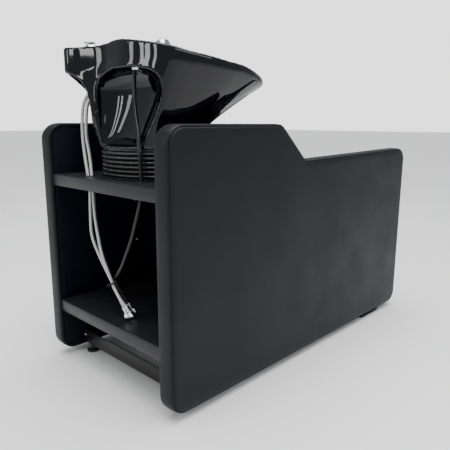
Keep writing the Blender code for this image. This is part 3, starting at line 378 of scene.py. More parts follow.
def finish_material(name, colour, sheen, pattern="tooth", size=900.0, bump=0.1, depth=0.0003,
                    metallic=0.0, dust=0.02, sheen_scale=7.0, specular=0.5, shade=0.0):
    """A Principled finish whose colour, roughness and relief all vary over the surface; leather and
    braid can also get painted shade, a darker colour in the low places of their relief.
    """
    made = bpy.data.materials.new(name)
    made.use_nodes = True
    tree = made.node_tree
    shader = tree.nodes["Principled BSDF"]
    shader.inputs["Metallic"].default_value = metallic
    shader.inputs["Specular IOR Level"].default_value = specular
    place = tree.nodes.new("ShaderNodeTexCoord")
    here = place.outputs["Object"]
    rough = group(tree, uneven_sheen, (("Vector", here), ("Scale", sheen_scale), ("Low", sheen[0]),
                                       ("High", sheen[1])))
    tree.links.new(rough.outputs[0], shader.inputs["Roughness"])
    rgba = (*colour, 1.0)
    painted_shade_mask = None
    if pattern == "leather":
        relief = group(tree, leather_grain, (("Vector", here), ("Scale", size)))
        painted_shade_mask = relief.outputs["Shade"]
    elif pattern == "brushed":
        relief = group(tree, brushed_lines, (("Vector", here), ("Stretch", size)))
    elif pattern == "wood":
        relief = group(tree, wood_figure, (("Vector", here),))
    elif pattern == "weave":
        relief = group(tree, braided_weave, (("Vector", place.outputs["UV"]), ("Pitch", size)))
        painted_shade_mask = relief.outputs["Shade"]
    else:
        relief = group(tree, fine_tooth, (("Vector", here), ("Scale", size)))
    lift = add(tree, "ShaderNodeBump", (("Height", relief.outputs["Height"]), ("Strength", bump),
                                        ("Distance", depth)))
    tree.links.new(lift.outputs["Normal"], shader.inputs["Normal"])
    if pattern == "wood":
        source = relief.outputs["Colour"]
    # Painted shade: the low places of the leather's grain and of the braid's weave get a colour made
    # darker by the given amount.
    elif painted_shade_mask is not None and shade:
        painted_shade_colour = (*(part * (1.0 - shade) for part in colour), 1.0)
        source = blend_colours(tree, painted_shade_mask, painted_shade_colour, rgba)
    else:
        source = rgba
    film = group(tree, settled_dust, (("Vector", here), ("Colour", source), ("Amount", dust)))
    tree.links.new(film.outputs["Colour"], shader.inputs["Base Color"])
    return made


def finishes():
    """Every finish of the unit, by the frame's material slot."""
    tone = colours()
    return {
        # Painted shade: the grain's creases are painted 35% darker.
        "vinyl": finish_material(
            "black_vinyl", tone.vinyl, (0.40, 0.52), "leather", 620.0, 0.30, 0.00035, dust=0.003,
            shade=0.35, specular=0.17),
        "panel_board": finish_material(
            "black_lining_board", (0.0035, 0.0038, 0.0090), (0.45, 0.62), "tooth", 500.0, 0.12,
            dust=0.003, specular=0.10),
        "plywood": finish_material(
            "birch_plywood", (0.5, 0.36, 0.22), (0.5, 0.7), "wood", bump=0.2, dust=0.03),
        "shelf_paint": finish_material(
            "grey_powder_coat", tone.shelf, (0.33, 0.45), "tooth", 1100.0, 0.16, dust=0.008,
            specular=0.30),
        "black_steel": finish_material(
            "black_painted_steel", (0.010, 0.010, 0.011), (0.32, 0.46), "tooth", 1000.0, 0.12,
            dust=0.006, specular=0.3),
        "glaze": finish_material(
            "black_glaze", tone.glaze, (0.02, 0.06), "tooth", 38.0, 0.04, 0.0006, dust=0.0,
            sheen_scale=14.0, specular=0.42),
        "rubber": finish_material(
            "moulded_rubber", (0.010, 0.010, 0.011), (0.20, 0.33), "tooth", 420.0, 0.10),
        "chrome": finish_material(
            "polished_chrome", (0.78, 0.79, 0.80), (0.05, 0.11), "tooth", 160.0, 0.01,
            metallic=1.0, dust=0.0, sheen_scale=30.0),
        "steel": finish_material(
            "brushed_steel", (0.52, 0.52, 0.53), (0.22, 0.36), "brushed", (60.0, 60.0, 2600.0),
            0.12, metallic=1.0, dust=0.0),
        # Painted shade: the gaps between the braid's wires are painted 72% darker.
        "braid": finish_material(
            "steel_braid", tone.braid, (0.28, 0.42), "weave", 1.0, 0.9, 0.0006, metallic=0.75,
            dust=0.0, shade=0.72),
        "black_plastic": finish_material(
            "matt_black_plastic", (0.011, 0.011, 0.012), (0.38, 0.5), "tooth", 1300.0, 0.14),
        "gloss_black": finish_material(
            "gloss_black_plastic", (0.008, 0.008, 0.009), (0.10, 0.2), "tooth", 300.0, 0.03,
            dust=0.004, specular=0.28),
        "thread": finish_material(
            "black_thread", (0.012, 0.012, 0.013), (0.5, 0.65), "tooth", 3000.0, 0.3, dust=0.0),
    }


FINISHES = {}


def finish(slot):
    if not FINISHES:
        FINISHES.update(finishes())
    return FINISHES[slot]


# ---------------------------------------------------------------- mesh helpers

def turns(count):
    """Angles evenly round a full turn."""
    return [2 * math.pi * step / count for step in range(count)]


def flattened(wave, power):
    """A sine or cosine raised to a power that keeps its sign, which squares an oval off."""
    return math.copysign(abs(wave) ** power, wave)


def mesh_from(name, bm):
    mesh = bpy.data.meshes.new(name)
    bm.to_mesh(mesh)
    bm.free()
    return mesh


def shaded(mesh, angle=35.0):
    mesh.shade_smooth()
    mesh.set_sharp_from_angle(angle=math.radians(angle))
    return mesh


def settle(name, mesh, slot, body, stands_for=(), blend=None, angle=35.0):
    """Put a finished mesh in the scene: its finish, its body, and the frame nodes it stands for."""
    piece = linked(name, shaded(mesh, angle))
    piece.data.materials.clear()
    piece.data.materials.append(finish(slot))
    if blend:
        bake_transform(piece)
    else:
        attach(piece, body)
    if stands_for:
        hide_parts(*stands_for)
    return piece


def linked(name, data):
    """An object for a mesh, a light or a camera, linked to the scene."""
    made = bpy.data.objects.new(name, data)
    bpy.context.scene.collection.objects.link(made)
    return made


def evaluated(guide):
    """The guide's mesh with its modifiers applied; the guide itself is removed."""
    bpy.context.view_layer.update()
    depsgraph = bpy.context.evaluated_depsgraph_get()
    mesh = bpy.data.meshes.new_from_object(guide.evaluated_get(depsgraph), depsgraph=depsgraph)
    mesh.transform(guide.matrix_world)
    bpy.data.objects.remove(guide, do_unlink=True)
    return mesh


def modify(guide, kind, **settings):
    made = guide.modifiers.new(kind.title(), kind)
    for key, value in settings.items():
        setattr(made, key, value)
    return made


def loft(name, rings, close=True, uv=False):
    """Skin between rings of equal point counts that run anticlockwise, lowest ring first."""
    bm = bmesh.new()
    layer = bm.loops.layers.uv.new("unwrap") if uv else None
    rows = [[bm.verts.new(point) for point in ring] for ring in rings]
    run = [0.0]
    for lower, upper in zip(rings, rings[1:]):
        run.append(run[-1] + (Vector(upper[0]) - Vector(lower[0])).length)
    for row, (lower, upper) in enumerate(zip(rows, rows[1:])):
        count = len(lower)
        for index in range(count):
            ahead = (index + 1) % count
            face = bm.faces.new((lower[index], lower[ahead], upper[ahead], upper[index]))
            if layer:
                corners = ((index, row), (index + 1, row), (index + 1, row + 1), (index, row + 1))
                for loop, (across, along) in zip(face.loops, corners):
                    loop[layer].uv = (across / count, run[along])
    if close:
        bm.faces.new(list(reversed(rows[0])))
        bm.faces.new(rows[-1])
    return mesh_from(name, bm)


def rounded(profile, radius=0.0006):
    """Break the corners of an open (radius, height) profile with small arcs."""
    points = [Vector(point) for point in profile]
    out = [points[0]]
    for before, here, after in zip(points, points[1:], points[2:]):
        back, on = before - here, after - here
        if back.length < 1e-7 or on.length < 1e-7 or back.angle(on) > math.radians(160):
            out.append(here)
            continue
        reach = min(radius, back.length * 0.4, on.length * 0.4)
        start, end = here + back.normalized() * reach, here + on.normalized() * reach
        for step in range(4):
            share = step / 3
            out.append(start.lerp(here, share).lerp(here.lerp(end, share), share))
    out.append(points[-1])
    return out


def lathe(name, profile, place=(0, 0, 0), axis=(0, 0, 1), sides=64, closed=False, corner=0.0006):
    """Turn a profile that runs down its outer side; an open one starts and ends on the axis."""
    line = [Vector(point) for point in profile]
    line = rounded(line + line[:2], corner)[1:-1] if closed else rounded(line, corner)
    turn = Vector((0, 0, 1)).rotation_difference(Vector(axis)).to_matrix().to_4x4()
    bm = bmesh.new()
    rows = []
    for radius, height in line:
        if radius < 1e-6:
            rows.append([bm.verts.new((0.0, 0.0, height))])
            continue
        rows.append([bm.verts.new((radius * math.cos(angle), radius * math.sin(angle), height))
                     for angle in turns(sides)])
    pairs = list(zip(rows, rows[1:])) + ([(rows[-1], rows[0])] if closed else [])
    for upper, lower in pairs:
        for s in range(sides):
            n = (s + 1) % sides
            corners = list(dict.fromkeys((upper[s % len(upper)], lower[s % len(lower)],
                                          lower[n % len(lower)], upper[n % len(upper)])))
            if len(corners) > 2:
                bm.faces.new(corners)
    bmesh.ops.recalc_face_normals(bm, faces=bm.faces)
    bm.transform(Matrix.Translation(Vector(place)) @ turn)
    return mesh_from(name, bm)


def turned(name, profile, place, slot, body, stands_for=(), blend=None, **shape):
    """A piece turned on the lathe and settled in the scene."""
    return settle(name, lathe(name, profile, place, **shape), slot, body, stands_for, blend)


def box_mesh(name, middle, span, place=Matrix.Identity(4), **bevel):
    """A box about its middle, moved into place, its edges rounded if a bevel is given."""
    bm = bmesh.new()
    bmesh.ops.create_cube(bm, size=1.0, matrix=place @ Matrix.Translation(middle)
                          @ Matrix.Diagonal((*span, 1.0)))
    if bevel:
        bmesh.ops.bevel(bm, geom=bm.edges[:], affect="EDGES", **bevel)
    return mesh_from(name, bm)


def joined(name, *meshes):
    bm = bmesh.new()
    for mesh in meshes:
        bm.from_mesh(mesh)
        bpy.data.meshes.remove(mesh)
    return mesh_from(name, bm)


def round_corners(corners, steps=5):
    """A closed outline whose corners (u, v, radius) are rounded by arcs."""
    outline = []
    for index, (u, v, radius) in enumerate(corners):
        here = Vector((u, v))
        before = (Vector(corners[index - 1][:2]) - here).normalized()
        after = (Vector(corners[(index + 1) % len(corners)][:2]) - here).normalized()
        half = before.angle(after) / 2
        centre = here + (before + after).normalized() * radius / math.sin(half)
        first = here + before * radius / math.tan(half) - centre
        last = here + after * radius / math.tan(half) - centre
        turn = first.angle_signed(last)
        for step in range(steps + 1):
            outline.append(centre + Matrix.Rotation(-turn * step / steps, 2) @ first)
    return outline


def hermite(values, place):
    """A value part way between the middle two of four, on a smooth curve through all."""
    before, first, last, after = values
    slope_a, slope_b = (last - before) / 2, (after - first) / 2
    square, cube = place * place, place ** 3
    return (first * (2 * cube - 3 * square + 1) + slope_a * (cube - 2 * square + place)
            + last * (3 * square - 2 * cube) + slope_b * (cube - square))


def smooth_route(route, spacing):
    """Even points along one smooth curve through the route's own points."""
    points = [Vector(point) for point in route]
    ends = [2 * points[0] - points[1]] + points + [2 * points[-1] - points[-2]]
    fine = []
    for index in range(len(points) - 1):
        fine += [hermite(ends[index:index + 4], step / 16) for step in range(16)]
    fine.append(points[-1])
    lengths = [0.0]
    for before, after in zip(fine, fine[1:]):
        lengths.append(lengths[-1] + (after - before).length)
    count = max(2, round(lengths[-1] / spacing))
    even, index = [], 0
    for step in range(count + 1):
        wanted = lengths[-1] * step / count
        while index < len(fine) - 2 and lengths[index + 1] < wanted:
            index += 1
        share = (wanted - lengths[index]) / (lengths[index + 1] - lengths[index])
        even.append(fine[index].lerp(fine[index + 1], share))
    return even


def sweep(name, points, radius, sides=20):
    """A round tube along points, unwrapped round and along it."""
    points = [Vector(point) for point in points]
    across = (points[1] - points[0]).orthogonal().normalized()
    rings = []
    for index, point in enumerate(points):
        ahead = points[min(index + 1, len(points) - 1)] - points[max(index - 1, 0)]
        ahead.normalize()
        across = (across - ahead * across.dot(ahead)).normalized()
        other = ahead.cross(across)
        rings.append([point + radius * (math.cos(angle) * across + math.sin(angle) * other)
                      for angle in turns(sides)])
    return loft(name, rings, uv=True)


# ---------------------------------------------------------------- Geometry Nodes

def grower(name, inputs):
    """A geometry tree with named inputs, which ends in Realize Instances and Set Material."""
    tree = bpy.data.node_groups.new(name, "GeometryNodeTree")
    tree.interface.new_socket("Geometry", in_out="INPUT", socket_type="NodeSocketGeometry")
    for label, kind, value in inputs + (("Material", "Material", None),):
        socket = tree.interface.new_socket(label, in_out="INPUT", socket_type="NodeSocket" + kind)
        if value is not None:
            socket.default_value = value
    tree.interface.new_socket("Geometry", in_out="OUTPUT", socket_type="NodeSocketGeometry")
    return tree, tree.nodes.new("NodeGroupInput").outputs


def end_tree(tree, given, geometry):
    real = add(tree, "GeometryNodeRealizeInstances", (("Geometry", geometry),))
    smooth = add(tree, "GeometryNodeSetShadeSmooth", (("Geometry", real.outputs[0]),))
    coated = add(tree, "GeometryNodeSetMaterial", (("Geometry", smooth.outputs[0]),
                                                   ("Material", given["Material"])))
    out = tree.nodes.new("NodeGroupOutput")
    tree.links.new(coated.outputs[0], out.inputs[0])
    return tree


def grown(name, mesh, tree, **values):
    """Run a geometry tree on a guide mesh and return the plain mesh it makes."""
    guide = linked(name, mesh)
    step = guide.modifiers.new(tree.name, "NODES")
    step.node_group = tree
    for item in tree.interface.items_tree:
        key = item.name.lower().replace(" ", "_")
        if item.in_out == "INPUT" and key in values:
            step[item.identifier] = values[key]
    return evaluated(guide)


def even_line(tree, mesh, spacing):
    """A seam's edges as a curve, with its points at an even spacing."""
    line = add(tree, "GeometryNodeMeshToCurve", (("Mesh", mesh),))
    return add(tree, "GeometryNodeResampleCurve", (
        ("Curve", line.outputs[0]), ("Length", spacing)), mode="LENGTH").outputs[0]


def stitch_tree():
    """Short threads, one after another along a seam."""
    tree, given = grower("seam_stitches", (("Length", "Float", 0.0034), ("Pitch", "Float", 0.0048),
                                           ("Thread Radius", "Float", 0.0003)))
    even = even_line(tree, given["Geometry"], given["Pitch"])
    thread = add(tree, "GeometryNodeMeshCylinder", (
        ("Vertices", 5), ("Radius", given["Thread Radius"]), ("Depth", given["Length"])))
    along = tree.nodes.new("GeometryNodeInputTangent")
    turn = add(tree, "FunctionNodeAlignRotationToVector", (("Vector", along.outputs[0]),), axis="Z")
    placed = add(tree, "GeometryNodeInstanceOnPoints", (
        ("Points", even), ("Instance", thread.outputs["Mesh"]), ("Rotation", turn.outputs[0])))
    return end_tree(tree, given, placed.outputs[0])


def piping_tree():
    """A round welt along a seam."""
    tree, given = grower("welt_piping", (("Radius", "Float", 0.0026), ("Spacing", "Float", 0.006)))
    section = add(tree, "GeometryNodeCurvePrimitiveCircle", (
        ("Resolution", 12), ("Radius", given["Radius"])))
    tube = add(tree, "GeometryNodeCurveToMesh", (
        ("Curve", even_line(tree, given["Geometry"], given["Spacing"])),
        ("Profile Curve", section.outputs[0]), ("Fill Caps", True)))
    return end_tree(tree, given, tube.outputs[0])


def scatter_tree():
    """Copies of one small piece on the guide's points, facing the way each point says."""
    tree, given = grower("placed_pieces", (("Piece", "Object", None), ("Size", "Float", 1.0)))
    piece = add(tree, "GeometryNodeObjectInfo", (("Object", given["Piece"]),))
    facing = add(tree, "GeometryNodeInputNamedAttribute", (("Name", "facing"),),
                 data_type="FLOAT_VECTOR")
    turn = add(tree, "FunctionNodeAlignRotationToVector", (("Vector", facing.outputs[0]),), axis="Z")
    points = add(tree, "GeometryNodeMeshToPoints", (("Mesh", given["Geometry"]),))
    placed = add(tree, "GeometryNodeInstanceOnPoints", (
        ("Points", points.outputs[0]), ("Instance", piece.outputs["Geometry"]),
        ("Rotation", turn.outputs[0]), ("Scale", given["Size"])))
    return end_tree(tree, given, placed.outputs[0])


def perforated_tree():
    """A plate with rings of round holes through it."""
    tree, given = grower("perforated_plate", (
        ("Hole Radius", "Float", 0.0016), ("Centre", "Vector", None)))
    rings = []
    for count, radius in ((6, 0.0055), (12, 0.0105)):
        circle = add(tree, "GeometryNodeMeshCircle", (("Vertices", count), ("Radius", radius)))
        bore = add(tree, "GeometryNodeMeshCylinder", (
            ("Vertices", 14), ("Radius", given["Hole Radius"]), ("Depth", 0.03)))
        rings.append(add(tree, "GeometryNodeInstanceOnPoints", (
            ("Points", circle.outputs[0]), ("Instance", bore.outputs["Mesh"]))))
    both = tree.nodes.new("GeometryNodeJoinGeometry")
    for ring in rings:
        tree.links.new(ring.outputs[0], both.inputs[0])
    bores = add(tree, "GeometryNodeRealizeInstances", (("Geometry", both.outputs[0]),))
    moved = add(tree, "GeometryNodeTransform", (("Geometry", bores.outputs[0]),
                                                ("Translation", given["Centre"])))
    cut = add(tree, "GeometryNodeMeshBoolean", (
        ("Mesh 1", given["Geometry"]), ("Mesh 2", moved.outputs[0])), operation="DIFFERENCE")
    return end_tree(tree, given, cut.outputs[0])


def line_mesh(name, points, cyclic=True):
    bm = bmesh.new()
    verts = [bm.verts.new(point) for point in points]
    for pair in zip(verts, verts[1:]):
        bm.edges.new(pair)
    if cyclic:
        bm.edges.new((verts[-1], verts[0]))
    return mesh_from(name, bm)


def facing_points(name, places):
    """A guide of loose points, each with the direction that a piece on it faces."""
    mesh = bpy.data.meshes.new(name)
    mesh.from_pydata([tuple(place) for place, _ in places], [], [])
    mesh.attributes.new("facing", "FLOAT_VECTOR", "POINT").data.foreach_set(
        "vector", [value for _, facing in places for value in facing])
    return mesh


TREES = {}


def tree_of(builder):
    if builder.__name__ not in TREES:
        TREES[builder.__name__] = builder()
    return TREES[builder.__name__]


def stitches(name, points, body, cyclic=True):
    size = sizes()
    mesh = grown(name, line_mesh(name, points, cyclic), tree_of(stitch_tree),
                 length=size.stitch_length, pitch=size.stitch_pitch, material=finish("thread"))
    return settle(name, mesh, "thread", body, angle=80.0)


def placed(name, piece_mesh, places, slot, body):
    """Copies of a small piece, such as a screw, at places that each have a direction."""
    piece = linked(name + "_model", piece_mesh)
    mesh = grown(name, facing_points(name, places), tree_of(scatter_tree), piece=piece,
                 material=finish(slot))
    bpy.data.objects.remove(piece, do_unlink=True)
    return settle(name, mesh, slot, body)


# ---------------------------------------------------------------- camera and hoses

class BACKWASH_OT_camera(bpy.types.Operator):
    """Set the camera behind the basin, at the unit's near rear corner"""
    bl_idname = "backwash.camera"
    bl_label = "Camera"

    def execute(self, context):
        data = bpy.data.cameras.new("view_camera")
        data.lens, data.sensor_width = CAMERA_LENS_MM, SENSOR_WIDTH_MM
        camera = linked("view_camera", data)
        turn, pitch, roll = CAMERA_TURN, CAMERA_PITCH, CAMERA_ROLL
        back = Vector((math.sin(turn) * math.cos(pitch), -math.cos(turn) * math.cos(pitch),
                       math.sin(pitch)))
        right = Vector((math.cos(turn), math.sin(turn), 0.0))
        side = right * math.cos(roll) + back.cross(right) * math.sin(roll)
        camera.matrix_world = (Matrix.Translation(CAMERA_PLACE)
                               @ Matrix((side, back.cross(side), back)).transposed().to_4x4())
        context.scene.camera = camera
        return {"FINISHED"}


def hose_nut(name, route, radius, node):
    """A crimped sleeve, a collar and a hexagon nut on a hose's lower end."""
    last, before = Vector(route[-1]), Vector(route[-2])
    axis = (last - before).normalized()
    sleeve = lathe(name, ((0.0, 0.011), (0.0064, 0.011), (0.0064, 0.0), (0.0067, -0.001),
                          (0.0067, -0.008), (0.0062, -0.009), (0.0, -0.009)), last, axis, 40)
    thread = lathe(name, ((0.0, 0.026), (0.0050, 0.026), (0.0058, 0.0255), (radius * 0.70, 0.0235),
                          (0.0, 0.0235)), last, axis, 40)
    hexagon = lathe(name, ((0.0, 0.0238), (radius * 0.86, 0.0238), (radius, 0.0228), (radius, 0.0112),
                           (radius * 0.86, 0.0102), (0.0, 0.0102)), last, axis, 6, corner=0.0003)
    return settle(name, joined(name, sleeve, thread, hexagon), "chrome", "unit", (node,))


class BACKWASH_OT_hoses(bpy.types.Operator):
    """Lay the two braided supply hoses and the hand shower's hose"""
    bl_idname = "backwash.hoses"
    bl_label = "Hoses"

    def execute(self, context):
        size = sizes()
        runs = (
            ("supply_hose_outer", SUPPLY_LEFT_ROUTE, size.supply_radius, "braid",
             "supply_hose_left", "supply_nut_left", 0.0095),
            ("supply_hose_inner", SUPPLY_RIGHT_ROUTE, size.supply_radius, "braid",
             "supply_hose_right", "supply_nut_right", 0.0095),
            ("hand_shower_hose", SHOWER_HOSE_ROUTE, size.shower_hose_radius, "gloss_black",
             "shower_hose", "shower_hose_nut", 0.0090),
        )
        for name, route, radius, slot, node, nut_node, nut_radius in runs:
            points = smooth_route(route, HOSE_STEP)
            hose = settle(name, sweep(name, points, radius), slot, "unit", (node,), HOSE_BEND, 60.0)
            for loop in hose.data.uv_layers[0].data:
                loop.uv = (loop.uv[0] * BRAID_ROUND, loop.uv[1] * BRAID_ALONG)
            nut = hose_nut(name + "_nut", route, nut_radius, nut_node)
        for number, route in enumerate((SUPPLY_LEFT_ROUTE, SUPPLY_RIGHT_ROUTE)):
            top, below = Vector(route[0]), Vector(route[1])
            turned(f"hose_ferrule_{number + 1}", (
                (0.0060, 0.0), (0.0066, 0.0), (0.0066, -0.002), (0.0061, -0.003), (0.0061, -0.008),
                (0.0066, -0.009), (0.0066, -0.018), (0.0060, -0.018)), top, "steel", "basin",
                axis=top - below, sides=40, closed=True, corner=0.0003)
        return {"FINISHED"}


class BACKWASH_OT_tie(bpy.types.Operator):
    """Bind the hoses with a ratchet cable tie"""
    bl_idname = "backwash.tie"
    bl_label = "Cable tie"

    def execute(self, context):
        band = lathe("hose_tie", (
            (0.0128, 0.0024), (0.0140, 0.0024), (0.0140, -0.0024), (0.0128, -0.0024)),
            TIE, TIE_AXIS, 72, closed=True, corner=0.0004)
        turn = Vector((0, 0, 1)).rotation_difference(TIE_AXIS).to_matrix().to_4x4()
        lock = Matrix.Translation(TIE) @ turn
        parts = [band]
        for low, high in (((-0.0035, 0.0132, -0.0035), (0.0035, 0.0185, 0.0035)),
                          ((-0.0011, 0.0180, -0.0022), (0.0, 0.0300, 0.0022))):
            middle, span = (Vector(low) + Vector(high)) / 2, Vector(high) - Vector(low)
            parts.append(box_mesh("lock", middle, span, lock, offset=0.0004, segments=2))
        settle("hose_tie", joined("hose_tie", *parts), "black_plastic", "unit", ("cable_tie",))
        return {"FINISHED"}


# ---------------------------------------------------------------- panels, boards and shelves

def side_outline(shrink=0.0, steps=14):
    """Side view of a panel: high at the rear, sloping down to the armrest."""
    rear = LENGTH / 2 - shrink
    front = -LENGTH / 2 + shrink
    top, bottom = PANEL_TOP - shrink, PANEL_BOTTOM + shrink
    slant = shrink * 0.42
    return round_corners((
        (rear, bottom, 0.050 - shrink),
        (rear, top, 0.050 - shrink),
        (STEP_TOP_Y + slant, top, 0.035),
        (STEP_FOOT_Y + slant, ARM_REAR_Z - shrink, 0.030),
        (front, ARM_FRONT_Z - shrink, 0.048 - shrink),
        (front, bottom, 0.045 - shrink),
    ), steps)


# distance from the inner face, and inset from the outline, across a panel's wrapped cover
COVER_SECTION = (
    (BOARD_T + GAP, 0.0117), (0.0040, 0.0117), (0.0010, 0.0113), (0.0, 0.0095), (0.0, 0.0050),
    (0.0012, 0.0018), (0.0045, 0.0002), (0.0150, -0.0004), (0.0280, -0.0005), (0.0380, 0.0001),
    (0.0440, 0.0010), (0.0474, 0.0024), (0.0490, 0.0038), (0.0488, 0.0050), (0.0474, 0.0058),
    (0.0484, 0.0067), (0.0502, 0.0078), (0.0516, 0.0096), (0.0525, 0.0130), (0.0531, 0.0180),
    (0.0534, 0.0270),
)


class BACKWASH_OT_side_panels(bpy.types.Operator):
    """Cover both side panels in boxed vinyl, with a stitched seam round the outer face"""
    bl_idname = "backwash.side_panels"
    bl_label = "Side panels"

    def execute(self, context):
        for side, label in ((1, "left"), (-1, "right")):
            inner = WIDTH / 2 - PANEL_T
            rings = [[Vector((side * (inner + depth), v.x, v.y)) for v in side_outline(shrink)]
                     for depth, shrink in COVER_SECTION]
            if side < 0:
                rings = [list(reversed(ring)) for ring in rings]
            name = "padded_panel_" + label
            mesh = loft(name, rings)
            bm = bmesh.new()
            bm.from_mesh(mesh)
            bmesh.ops.recalc_face_normals(bm, faces=bm.faces)
            cover = settle(name, mesh_from(name, bm), "vinyl", "unit", ("side_cover_" + label,),
                           angle=60.0)
            seam = [Vector((side * (inner + PANEL_SEAM_OUT), v.x, v.y))
                    for v in side_outline(PANEL_SEAM_INSET)]
            stitches("panel_stitches_" + label, seam, "unit")
        return {"FINISHED"}


def crisp_copy(node, slot, body, width):
    """A frame node's own shape with its doubled corners joined and its edges broken."""
    bm = bmesh.new()
    bm.from_mesh(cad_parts[node].data)
    bmesh.ops.remove_doubles(bm, verts=bm.verts, dist=0.00002)
    bmesh.ops.dissolve_limit(bm, angle_limit=math.radians(1.0), verts=bm.verts, edges=bm.edges)
    name = node + "_finished"
    guide = linked(name + "_guide", mesh_from(name, bm))
    modify(guide, "BEVEL", width=width, segments=2, limit_method="ANGLE",
           angle_limit=math.radians(40.0), use_clamp_overlap=True)
    settle(name, evaluated(guide), slot, body, (node,))


class BACKWASH_OT_boards(bpy.types.Operator):
    """Finish the lining, the seat and back boards, the rails and the base board"""
    bl_idname = "backwash.boards"
    bl_label = "Boards"

    def execute(self, context):
        for node in ("side_board_left", "side_board_right", "rear_lining", "front_base_board",
                     "seat_board", "back_board", "seat_front_rail", "seat_rail_left",
                     "seat_rail_right", "back_cleat_left", "back_cleat_right"):
            crisp_copy(node, "panel_board", "unit", 0.0010)
        return {"FINISHED"}


def screw_head(name, radius):
    """A domed screw head with a cross recess, standing on z = 0."""
    dome = lathe(name, ((0.0, radius * 0.55), (radius * 0.55, radius * 0.46),
                        (radius * 0.9, radius * 0.22), (radius, 0.0), (0.0, -0.0004)), sides=20)
    guide = linked(name + "_dome", dome)
    cutters = []
    for span in ((radius * 1.15, radius * 0.22), (radius * 0.22, radius * 1.15)):
        cross = box_mesh(name, (0, 0, radius * 0.55), (*span, radius * 0.6))
        cutter = linked(name + "_slot", cross)
        modify(guide, "BOOLEAN", operation="DIFFERENCE", object=cutter, solver="EXACT")
        cutters.append(cutter)
    mesh = evaluated(guide)
    for cutter in cutters:
        bpy.data.objects.remove(cutter, do_unlink=True)
    return mesh


class BACKWASH_OT_shelves(bpy.types.Operator):
    """Finish the two folded shelves and the angle rail, with their screws"""
    bl_idname = "backwash.shelves"
    bl_label = "Shelves and rail"

    def execute(self, context):
        for node, slot in (("upper_shelf", "shelf_paint"), ("lower_shelf", "shelf_paint"),
                           ("rear_rail", "black_steel")):
            crisp_copy(node, slot, "unit", 0.0009)
        inner = WIDTH / 2 - PANEL_T - 0.0025
        flange, board = inner - 0.0001, inner + 0.0020
        spots = [((side * flange, y, top - 0.022), (-side, 0.0, 0.0))
                 for top, row in ((UPPER_TOP, (0.275, 0.420)), (LOWER_TOP, (0.275, 0.420, 0.560)))
                 for y in row for side in (1, -1)]
        placed("shelf_screws", screw_head("shelf_screw", 0.0042), spots, "steel", "unit")
        spots = [((side * 0.246, 0.5221, 0.052), (0.0, 1.0, 0.0)) for side in (1, -1)]
        placed("rail_screws", screw_head("rail_screw", 0.0042), spots, "chrome", "unit")
        spots = [((side * board, 0.300, height), (-side, 0.0, 0.0))
                 for side in (1, -1) for height in (0.480, 0.340)]
        placed("panel_screws", screw_head("panel_screw", 0.0040), spots, "steel", "unit")
        return {"FINISHED"}


# ---------------------------------------------------------------- cushions

def swell(name, mesh, rise):
    """Blow a cushion's cover up as cloth, and let no point travel further than the rise."""
    guide = linked(name, mesh)
    modify(guide, "REMESH", mode="VOXEL", voxel_size=COVER_CELL, use_smooth_shade=True)
    even = evaluated(guide)
    cover = linked(name, even)
    start = [v.co.copy() for v in even.vertices]
    cloth = modify(cover, "CLOTH")
    cloth.settings.use_pressure = True
    cloth.settings.uniform_pressure_force = FOAM_PRESSURE
    cloth.settings.effector_weights.gravity = 0.0
    cloth.settings.quality = 4
    cloth.collision_settings.use_collision = False
    cloth.point_cache.frame_end = SWELL_FRAMES
    for moment in range(1, SWELL_FRAMES + 1):
        bpy.context.scene.frame_set(moment)
    blown = evaluated(cover)
    for vertex, before in zip(blown.vertices, start):
        travel = vertex.co - before
        if travel.length > rise:
            vertex.co = before + travel.normalized() * rise
    bpy.context.scene.frame_set(1)
    return blown
    return evaluated(cover)


def sewn_surface(name, mesh, box_low, box_high, corner_line, top):
    """Pull the cover in along its top seam, keep it inside its place, and smooth it."""
    for vertex in mesh.vertices:
        near = min((Vector((vertex.co.x, vertex.co.y)) - point).length for point in corner_line)
        tuck = (math.exp(-(near / TUCK_WIDTH) ** 2)
                * math.exp(-((vertex.co.z - top) / TUCK_HEIGHT) ** 2))
        vertex.co.z -= TUCK_DEPTH * tuck
        vertex.co = Vector(min(max(value, low), high)
                           for value, low, high in zip(vertex.co, box_low, box_high))
    guide = linked(name, mesh)
    modify(guide, "SMOOTH", factor=0.5, iterations=3)
    modify(guide, "SUBSURF", levels=1, render_levels=1)
    return evaluated(guide)


def dense(outline, spacing=0.006):
    """A closed outline with points no further apart than the spacing, or close to it."""
    points = []
    for here, after in zip(outline, outline[1:] + outline[:1]):
        count = max(1, round((after - here).length / spacing))
        points += [here.lerp(after, step / count) for step in range(count)]
    return points


